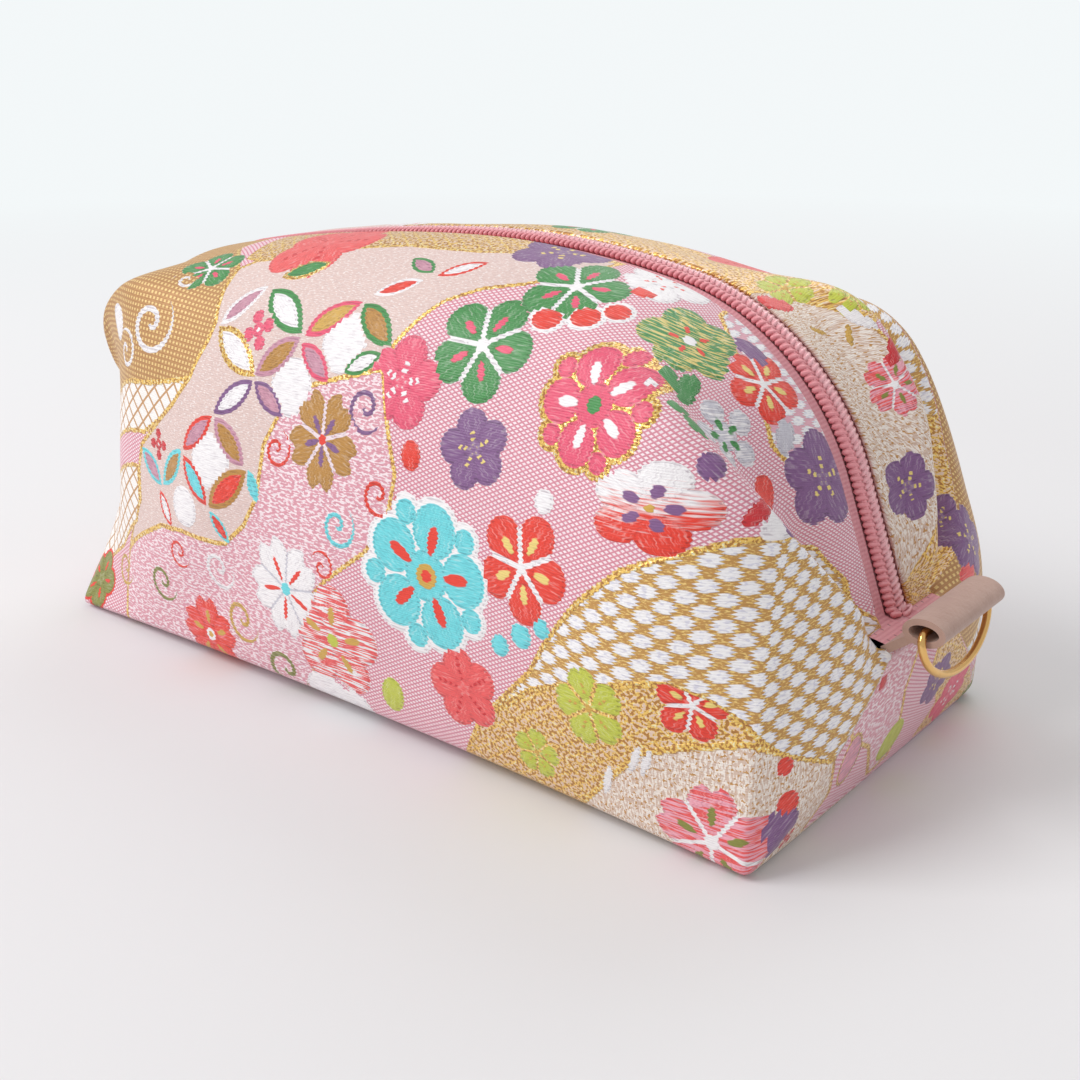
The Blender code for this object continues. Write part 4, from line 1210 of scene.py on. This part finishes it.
def face_motif(a, b, gold_with_glints):
    """The motif's colour, how much of it covers the ground, its rise and its gold."""
    x_at, y_at, clip = kept("motif_place").parts()
    petals, turn, aspect = kept("motif_kind").parts()
    reach, petal_round, notch = kept("motif_form").parts()
    outline, seam, stroke = kept("motif_lines").parts()
    core, stroke_start, stroke_end = kept("motif_inner").parts()
    ring, shade, streak = kept("motif_more").parts()
    radius, dotted, rim_gold = kept("motif_extra").parts()
    saw_step = wave(b, MOTIF_SAW_STEP)
    x_at = x_at + (saw_step - 0.5) * 0.42 / radius
    turn_cos, turn_sin = turn.math("COSINE"), turn.math("SINE")
    x = x_at * turn_cos + y_at * turn_sin
    y = (y_at * turn_cos - x_at * turn_sin) / aspect
    far = length(x, y)
    angle = y.math("ARCTAN2", x)
    petal_step = higher(petals, 1.0).math("POWER", -1.0) * (2 * pi)
    half_step = petal_step * 0.5
    folded = (angle + half_step).math("FLOORED_MODULO", petal_step) - half_step
    petal_x, petal_y = far * folded.math("COSINE"), abs(far * folded.math("SINE"))
    gap_turn = angle.math("FLOORED_MODULO", petal_step) - half_step
    gap_x, gap_y = far * gap_turn.math("COSINE"), far * gap_turn.math("SINE")

    def inked(away):
        return within(away * radius, SOFT_EDGE)

    blossom = circle(petal_x, petal_y, reach, petal_round)
    blossom = higher(blossom, petal_x - petal_y * 0.8 + notch - 1.0)
    blossom = lower(blossom, far - reach * 0.55)
    blossom = lower(blossom, circle(gap_x, gap_y, 0.77, 0.15) + (1 - ring) * 9.0)
    lens = length(x, abs(y) + (LENS_CURVE - LENS_HALF)) - LENS_CURVE + outline
    winding = abs((far * SCROLL_TURNS - angle * (0.5 / pi)).math("FLOORED_MODULO", 1.0) - 0.5)
    scroll_line = higher(winding / SCROLL_TURNS - 0.1, far - 1.0)
    is_blossom = petals.math("GREATER_THAN", 0.5)
    is_scroll = petals.math("LESS_THAN", -0.5)
    edge = between(is_scroll, between(is_blossom, lens, blossom), scroll_line)
    outer = (edge - outline) * radius
    motif = within(outer, SOFT_EDGE) * within(clip * -1.0, 0.2)
    fill = inked(edge)
    seam_away = far * (half_step - abs(folded)).math("SINE") - seam
    seam_line = inked(seam_away) * seam.math("GREATER_THAN", 0.001) * is_blossom
    stroke_half = higher((stroke_end - stroke_start) * 0.5, 0.02)
    stroke_x = (petal_x - (stroke_start + stroke_end) * 0.5) / stroke_half
    stroke_y = petal_y / higher(stroke * (petal_x * 0.9 + 0.55), 0.01)
    stroke_away = (length(stroke_x, stroke_y) - 1.0) * 0.07
    stroke_dots = between(dotted, 1.0, within(wave(petal_x, 0.16) - 0.5, 0.2))
    stroke_line = inked(stroke_away) * stroke.math("GREATER_THAN", 0.001) * is_blossom
    stroke_line = stroke_line * stroke_dots
    has_heart = core.math("GREATER_THAN", 0.001) * is_blossom
    heart_disc = inked(far - core) * has_heart
    heart_dot = inked(far - core * 0.5) * core.math("GREATER_THAN", 0.13) * is_blossom

    floats = grain(vector(a * 0.17, b * 2.4), 1.0, 1.0)
    streaks = within(0.60 - floats - streak * 0.08, 0.05) * streak.math("MINIMUM", 1.0)
    tone = clamped(0.5 + (x_at * 0.57 - y_at * 0.82) * 2.4 + (floats - 0.5) * 3.2) * shade
    satin = grain(vector(petal_y * radius * 2.4, petal_x * radius * 0.32, petals), 1.0, 2.0)
    colour = blend(higher(streaks, tone), kept("motif_petal"), kept("motif_second"))
    # Painted sheen and shade on the satin floats: a noise along the petal's threads darkens some floats and
    # lightens others towards white.
    colour = darker(clamped(satin * 2.6 - 1.3) * 0.55, colour)
    colour = blend((0.46 - satin).math("MULTIPLY", 2.2, clamp=True) * 0.6, colour, rgb(255, 250, 246))
    rim_colour = blend(rim_gold, kept("motif_rim"), gold_with_glints)
    colour = blend(fill, rim_colour, colour)
    colour = blend(seam_line, colour, rim_colour)
    colour = blend(stroke_line, colour, kept("motif_marks"))
    colour = blend(heart_disc, colour, kept("motif_heart"))
    colour = blend(heart_dot, colour, kept("motif_marks"))
    # Painted stitch shadows: dark dots along the petal's edge, at every other step of its saw.
    edge_stitch_shadow_away = lower(abs(outer + 0.5), abs(edge * radius + 0.45)) - 0.2
    edge_stitch_shadow = within(edge_stitch_shadow_away, 0.12) * within(0.62 - saw_step, 0.1)
    colour = darker(edge_stitch_shadow * 0.5, colour)
    pillow = clamped(outer * -0.8) * 0.6 + fill * 0.2 + stroke_line * 0.3 + heart_disc * 0.4
    return colour, motif, pillow * motif + satin * motif * 0.5, rim_gold * (1 - fill)


# %% The cloth's materials
CORD_HALF = 0.5


def brocade_cloth(name, with_fields, with_motif):
    """One cut of the cloth; faces without a field or a motif leave that part out."""
    cloth, shader = new_material(name, 0.6, 0.0, 0.1)
    a, b, _ = kept("cloth_place").parts()
    speck = grain(vector(a, b), 1.5, 1.0)
    lattice = higher(wave(a * 0.55 + b, LATTICE_STEP), wave(a * 0.55 - b, LATTICE_STEP))
    colour = blend(within(0.6 - lattice, 0.25), rgb(252, 236, 240), rgb(220, 142, 160))
    # Painted glints: the gold thread's brightest specks are near-white gold, laid over specks of darker
    # brown and bright gold.
    gold_with_glints = blend(within(0.46 - speck, 0.05), rgb(188, 132, 70), rgb(250, 208, 110))
    gold_with_glints = blend(within(0.62 - speck, 0.03), gold_with_glints, rgb(255, 244, 196))
    height, gold_share = lattice * 0.05, None
    if with_fields:
        grounds, dots = field_grounds(a, b, speck, gold_with_glints)
        cords, puffs = None, None
        for field_name in FIELD_ORDER:
            away = kept_number("field_" + field_name)
            field = within(away, 0.2)
            cord = within(abs(away + (wave(b, CORD_SAW_STEP) - 0.5) * 0.3) - CORD_HALF, SOFT_EDGE)
            ground, gold_part = grounds[field_name]
            colour = blend(cord, blend(field, colour, ground), gold_with_glints)
            gold_share = field * gold_part if gold_share is None else between(field, gold_share, gold_part)
            gold_share = higher(gold_share, cord)
            cords = cord if cords is None else higher(cords * (1 - field * 0.9), cord)
            if field_name in ("kanoko", "patch"):
                puffs = field * dots if puffs is None else higher(puffs, field * dots)
        height = height + puffs * 0.32 + cords * 0.2 + speck * gold_share * 0.3
    if with_motif:
        motif_colour, motif, motif_height, rim_share = face_motif(a, b, gold_with_glints)
        colour = blend(motif, colour, motif_colour)
        height = between(motif, height, motif_height * 0.4 + 0.1)
        gold_share = rim_share * motif if gold_share is None else between(motif, gold_share, rim_share)
    fine_thread = wave(b, FINE_THREAD)
    fibres = grain(vector(a * 0.5, b * 4.5), 1.0, 1.0)
    # Painted shade between the fine threads, together with a random darker tone from the fibres.
    colour = darker(clamped(fine_thread * 0.14 + (fibres - 0.5) * 0.7), colour)
    height = height + fine_thread * 0.05 + fibres * 0.08
    values = {"Base_Color": colour, "Normal": relief(height, 0.6, 0.001)}
    roughness = 0.6 if gold_share is None else 0.62 - gold_share * 0.26
    if with_motif:
        roughness = roughness - motif * 0.2
    if gold_share is not None:
        values["Metallic"] = gold_share * 0.4
    if isinstance(roughness, Thread):
        values["Roughness"] = roughness
    drive(shader, **values)
    return cloth


FIELD_NEAR = 1.6
has_motif = nearest < REACH_SHARE
field_nearest = np.min([point_field[name][corner_points].min(axis=1) for name in FIELD_ORDER], axis=0)
has_field = field_nearest < FIELD_NEAR
cuts = (("brocade", 1, 1), ("brocade_fields", 1, 0), ("brocade_pink", 0, 0), ("brocade_blossoms", 0, 1))
face_cut = np.where(has_field, np.where(has_motif, 0, 1), np.where(has_motif, 3, 2)).astype(np.int32)
for name, with_fields, with_motif in cuts:
    mesh.materials.append(brocade_cloth(name, with_fields, with_motif))
mesh.polygons.foreach_set("material_index", face_cut)
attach(shell, "pouch")
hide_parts("brocade_body")
print("faces of each cut", np.bincount(face_cut, minlength=4))

# %% [markdown]
# ## The lining
# Inside is a thinner bag of plain satin. It hangs off the outer cloth by a few millimetres and is open at
# the zip, so its rows stop short of the tapes.

# %% Lining
LINING_DEPTH, LINING_THICK = 2.9, 0.8
LINING_STEP, LINING_INSET = 5, 10
inner = loop_rows[::LINING_STEP, LINING_INSET:-LINING_INSET:LINING_STEP]
inner_normals = unit(np.cross(np.gradient(inner, axis=1), np.gradient(inner, axis=0)))
inner = (inner - inner_normals * LINING_DEPTH)[abs(run_of_row[::LINING_STEP]) <= CORNER_RUN]
lining, _ = sheet("lining_bag", inner)
wall = lining.modifiers.new("thickness", "SOLIDIFY")
wall.thickness, wall.offset = LINING_THICK * MM, -1.0
bpy.ops.object.modifier_apply(modifier=wall.name)
satin, satin_shader = new_material("lining_satin", 0.4, 0.0, 0.2)
satin_place = {"Vector": own_place(), "Scale": (900.0, 900.0, 160.0)}
satin_weave = grain(Thread.node("ShaderNodeMapping", {}, satin_place), 1.0)
drive(
    satin_shader, Base_Color=blend(satin_weave, rgb("mauve"), rgb("pink")),
    Normal=relief(satin_weave, 0.2, 0.0002),
)
lining.data.materials.append(satin)
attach(lining, "pouch")
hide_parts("lining")
print("lining", len(lining.data.polygons), "faces")

# %% [markdown]
# ## The zip
# Two ribbed tapes carry a nylon coil. Each half of the coil is a row of bent loops sewn to its tape, so
# one loop is modelled and copied along the zip's line, with a cord inside the row that the loops are
# wound round.


# %% Along the zip
END_CURL = 0.75


def zip_end(run):
    """The run at which the zip's line ends, on the side of the pouch where a place lies."""
    return run_right if run > 0 else run_left


def over_zip(run, side, lift):
    """A place over the zip's line, in millimetres, with the line's outward and forward directions."""
    (x, z), lean = zip_line(abs(run), RIGHT_LINE if run > 0 else LEFT_LINE)
    way = 1.0 if run > 0 else -1.0
    outward = np.array([way * sin(lean), 0.0, cos(lean)])
    forward = np.array([cos(lean), 0.0, -way * sin(lean)])
    past = max(abs(run) - zip_end(run), 0.0) * END_CURL
    return np.array([way * (x + past), side, z + past]) + outward * lift, outward, forward


TAPE_LEVEL = -1.5
TAPE_PROFILE = (
    (0.1, -1.2), (0.12, 0.0), (1.4, 0.0), (2.9, 0.02), (3.25, 0.38), (3.6, 0.42), (4.0, 0.05), (6.0, 0.0),
    (8.0, 0.0), (9.8, -0.05),
)
TAPE_PAST_END = 5.4
FRONT_TAPE_EDGE = ((12.6, -0.1),)
TAPE_FOLD, TAPE_EDGE = 6.0, 9.8
TUCK_WIDER, TUCK_FROM, TUCK_RUN = 3.4, 4.0, 2.5
tape_runs = np.arange(-run_left - TAPE_PAST_END, run_right + TAPE_PAST_END, 1.0)
tape_places = {}
for name, way, node in (("tape_front", -1.0, "zip_tape_front"), ("tape_back", 1.0, "zip_tape_back")):
    profile = TAPE_PROFILE + (FRONT_TAPE_EDGE if way < 0 else ())
    rows = []
    for run in tape_runs:
        # The back tape is narrow, so it widens where it tucks under the ends of the cloth.
        tuck = np.clip((abs(run) - zip_end(run) + TUCK_FROM) / TUCK_RUN, 0.0, 1.0)
        wider = TUCK_WIDER * tuck * (way > 0) / (TAPE_EDGE - TAPE_FOLD)
        sides = [(side + wider * max(side - TAPE_FOLD, 0.0), lift) for side, lift in profile]
        rows.append([over_zip(run, way * side, TAPE_LEVEL + lift)[0] for side, lift in sides])
    rows = np.array(rows)[:, :: int(way) * -1]
    tape, tape_order = sheet(name, rows)
    away = abs(rows[..., 1])
    tape_chart = np.stack([tape_runs[:, None] + 0.0 * away, away, 0.0 * away], axis=2)
    keep(tape, "tape_place", by_point(tape_chart.reshape(-1, 3), tape_order))
    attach(tape, "pouch")
    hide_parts(node)
    tape_places[name] = tape
print("tape rows", len(tape_runs))

# %% Tape weave
RIB_STEP, WARP_STEP = 0.85, 0.55
NEEDLE_ROWS, NEEDLE_STEP, NEEDLES_WITHIN = 2.6, 2.3, 5.2
tape_cloth, tape_shader = new_material("tape_weave", 0.78, 0.0, 0.2)
tape_run, tape_side, _ = kept("tape_place").parts()
rib = wave(tape_run, RIB_STEP)
warp = wave(tape_side, WARP_STEP)
tape_grain = grain(vector(tape_run * 1.4, tape_side * 3.0), 1.0)
needle_place = (tape_side + 0.9).math("FLOORED_MODULO", NEEDLE_ROWS) - NEEDLE_ROWS / 2
shaded_needle_holes = within(abs(needle_place) - 0.14, 0.1) * within(wave(tape_run, NEEDLE_STEP) - 0.22, 0.1)
shaded_needle_holes = shaded_needle_holes * within(NEEDLES_WITHIN - tape_side, 0.3)
tape_share = (rib * 0.5 + tape_grain * 0.6).math("ADD", -0.2, clamp=True)
tape_colour = blend(tape_share, rgb(216, 140, 150), rgb(246, 184, 190))
# Painted shade: the needle holes are darkened with the shadow colour.
tape_colour = blend(shaded_needle_holes * 0.7, tape_colour, rgb("shadow"))
drive(
    tape_shader, Base_Color=tape_colour,
    Normal=relief(rib * 0.12 + warp * 0.04 - shaded_needle_holes * 0.2, 0.6, 0.001),
)
for tape in tape_places.values():
    tape.data.materials.append(tape_cloth)
print("tape material ready")

# %% Coil
COIL_PITCH, COIL_MIDDLE, COIL_LIFT = 1.25, 1.62, -0.55
COIL_HALF, COIL_RISE, COIL_SLANT, COIL_STAGGER = 1.9, 0.82, 0.34, 0.3
LOOP_WIRE, WIRE_PLUMP = 0.3, 1.75
CORE_WIDTH, CORE_HEIGHT = 2.3, 1.4
deselect()
bpy.ops.mesh.primitive_torus_add(
    major_segments=10, minor_segments=4, major_radius=1.0, minor_radius=LOOP_WIRE,
)
bpy.ops.object.shade_smooth()
first_loop = bpy.context.object
coil_runs = np.arange(-run_left + 10.0, run_right + 1.2, COIL_PITCH)
coils = {}
for name, way, node in (("coil_front", -1.0, "zip_coil_front"), ("coil_back", 1.0, "zip_coil_back")):
    core_line = [over_zip(run, way * COIL_MIDDLE, COIL_LIFT)[0] for run in coil_runs]
    core_up = [over_zip(run, 0.0, 0.0)[1] for run in coil_runs]
    pieces = [tube(name, core_line, CORE_WIDTH, CORE_HEIGHT, 8, core_up)]
    for run in coil_runs:
        place, outward, forward = over_zip(run + COIL_STAGGER * way, way * COIL_MIDDLE, COIL_LIFT)
        side = np.array([0.0, way, 0.0]) * COIL_HALF / (1 + LOOP_WIRE) - forward * COIL_SLANT
        rise = outward * COIL_RISE / (1 + LOOP_WIRE)
        loop = first_loop.copy()
        loop.data = first_loop.data.copy()
        turned = np.eye(4)
        turned[:3] = np.stack([side, rise, forward * WIRE_PLUMP, place], axis=1) * MM
        loop.data.transform(Matrix(turned))
        bpy.context.scene.collection.objects.link(loop)
        pieces.append(loop)
    deselect()
    for piece in pieces:
        piece.select_set(True)
    bpy.context.view_layer.objects.active = pieces[0]
    bpy.ops.object.join()
    coil = bpy.context.object
    bpy.ops.object.mode_set(mode="EDIT")
    bpy.ops.mesh.select_all(action="SELECT")
    bpy.ops.mesh.normals_make_consistent(inside=False)
    bpy.ops.object.mode_set(mode="OBJECT")
    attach(coil, "pouch")
    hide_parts(node)
    coils[name] = coil
bpy.data.objects.remove(first_loop, do_unlink=True)
# Painted light: the back half turns more to the light, so its nylon is painted paler than the front's, with
# near-white flecks as painted glints; it is also shinier.
COIL_LOOKS = (
    ("coil_front", rgb(226, 132, 142), rgb(246, 166, 172), 0.5),
    ("coil_back", rgb(236, 150, 160), rgb(255, 208, 212), 0.28),
)
for name, dark, light, roughness in COIL_LOOKS:
    nylon, nylon_shader = new_material("nylon_" + name, roughness)
    nylon_shader.inputs["Coat Weight"].default_value = 0.3
    drive(nylon_shader, Base_Color=blend(grain(own_place(), 900.0), dark, light))
    coils[name].data.materials.append(nylon)
print("coil loops", 2 * len(coil_runs))

# %% [markdown]
# ## Tab, ring and slider
# The tab is a strip of suede folded into a tube, and the ring's straight side lies in it. The ring is
# drawn here as a smooth round wire; the slider, its pull and the stops keep the frame's shape and get
# polished gold.

# %% Gold
gold_metal, gold_shader = new_material("polished_gold", 0.16, 1.0)
gold_place = own_place()
worn = grain(gold_place, 260.0, 3.0)
drive(
    gold_shader,
    Base_Color=blend(worn, rgb(226, 172, 96), rgb(246, 206, 138)),
    Roughness=worn * 0.14 + 0.1,
    Normal=relief(grain(gold_place, 1800.0), 0.05, 0.0002),
)

# %% Ring
TAB_CENTRE = np.array([107.8, 0.0, 38.2])
RING_HALF, RING_DEPTH, RING_CORNER, RING_WIRE = 14.0, 10.6, 2.0, 1.5
RING_LEAN = radians(78.0)
ring_down = np.array([cos(RING_LEAN), 0.0, -sin(RING_LEAN)])
ring_face = np.array([sin(RING_LEAN), 0.0, cos(RING_LEAN)])
bow_turns = np.linspace(0, pi, 60)
bow = [(RING_HALF * cos(t), RING_CORNER + (RING_DEPTH - RING_CORNER) * sin(t)) for t in bow_turns]
quarter = np.linspace(0, pi / 2, 9)
left_corner = [(-RING_HALF + RING_CORNER * (1 - cos(t)), RING_CORNER * (1 - sin(t))) for t in quarter[1:]]
right_corner = [(-side, drop) for side, drop in left_corner[::-1]]
bar = [(side, 0.0) for side in np.linspace(-RING_HALF + RING_CORNER, RING_HALF - RING_CORNER, 16)[1:-1]]
outline_points = bow + left_corner + bar + right_corner
ring_line = np.array([TAB_CENTRE + ZIP_SIDE * side + ring_down * drop for side, drop in outline_points])
ring_side = np.cross(unit(np.roll(ring_line, -1, axis=0) - np.roll(ring_line, 1, axis=0)), ring_face)
ring_rows = wire_rows(ring_line, ring_side, ring_face, RING_WIRE, RING_WIRE, 16)
ring_piece, _ = sheet("gold_ring", np.concatenate([ring_rows, ring_rows[:1]]), merge=True)
ring_piece.data.materials.append(gold_metal)
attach(ring_piece, "ring")
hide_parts("d_ring")
print("ring", len(ring_piece.data.polygons), "faces")

# %% Slider, stops and tab
suede, suede_shader = new_material("tab_suede", 0.85, 0.0, 0.4)
suede_place = own_place()
nap = grain(suede_place, 700.0, 4.0, 0.7)
patches = grain(suede_place, 90.0, 2.0)
suede_colour = blend(patches, rgb(150, 112, 98), rgb(196, 160, 144))
suede_colour = blend(nap * 0.3, suede_colour, rgb(226, 196, 182))
drive(suede_shader, Base_Color=suede_colour, Normal=relief(nap, 0.35, 0.0004))


def dress(node, material):
    """Gives a node of the frame a new material."""
    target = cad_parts[node]
    if not target.material_slots:
        target.data.materials.append(material)
    for place in target.material_slots:
        place.material = material


for node in ("zip_slider", "zip_pull", "top_stop_front", "top_stop_back"):
    dress(node, gold_metal)
dress("tab_loop", suede)
print("dressed nodes", 5)

# %% [markdown]
# ## Floor and light
# A plain pale floor runs out into an even backdrop. The light is soft and plain, a little stronger from
# the upper left, so that the end with the tab lies in light shade.

# %% Floor
BACKDROP = (0.90, 0.935, 0.945, 1.0)
FLOOR_COLOUR = (0.79, 0.782, 0.795, 1.0)
FADE_MIDDLE, FADE_WIDTH = 0.55, 0.6


def show(share, first, second, output):
    """Mixes two shaders by a share and links the mix to the tree's output node."""
    mix = Thread.node("ShaderNodeMixShader", {}, {0: share, 1: first, 2: second})
    Thread.tree.links.new(mix.socket, Thread.tree.nodes[output].inputs["Surface"])


deselect()
bpy.ops.mesh.primitive_plane_add(size=12.0, location=(0.0, 0.0, 0.0))
floor = bpy.context.object
floor.name = "floor"
floor_paper, floor_shader = new_material("floor_paper", 0.9)
floor_shader.inputs["Base Color"].default_value = FLOOR_COLOUR
floor_shader.inputs["Specular IOR Level"].default_value = 0.1
floor_far = Thread.node("ShaderNodeVectorMath", {"operation": "LENGTH"}, {0: own_place()}, out=1)
glow = Thread.node("ShaderNodeEmission", {}, {"Color": BACKDROP})
seen = Thread.node("ShaderNodeLightPath", out="Is Camera Ray")
show(
    within(FADE_MIDDLE - floor_far, FADE_WIDTH) * seen, Thread(floor_shader.outputs[0]), glow,
    "Material Output",
)
floor.data.materials.append(floor_paper)

# %% Lights
SKY_STRENGTH = 0.6
world = bpy.data.worlds.new("studio")
bpy.context.scene.world = world
world.use_nodes = True
Thread.tree = world.node_tree
sky = Thread.node("ShaderNodeBackground", {}, {"Color": (1.0, 1.0, 1.0, 1.0), "Strength": SKY_STRENGTH})
backdrop = Thread.node("ShaderNodeBackground", {}, {"Color": BACKDROP})
show(Thread.node("ShaderNodeLightPath", out="Is Camera Ray"), sky, backdrop, "World Output")


def soft_light(name, place, aim, size, power):
    """A square light of that size in metres, turned to the place it aims at."""
    data = bpy.data.lights.new(name, "AREA")
    data.shape, data.size, data.energy = "SQUARE", size, power
    lamp = bpy.data.objects.new(name, data)
    bpy.context.scene.collection.objects.link(lamp)
    lamp.location = place
    lamp.rotation_euler = (Vector(aim) - Vector(place)).to_track_quat("-Z", "Y").to_euler()


soft_light("key_light", place=(-0.7, -0.9, 1.1), aim=(0.0, 0.0, 0.04), size=0.8, power=13.5)
soft_light("back_light", place=(-0.2, 0.9, 1.0), aim=(0.0, 0.0, 0.05), size=0.9, power=4.0)
print("lights", len(bpy.data.lights))

# %% Finish
bpy.context.scene.view_settings.view_transform = "Standard"
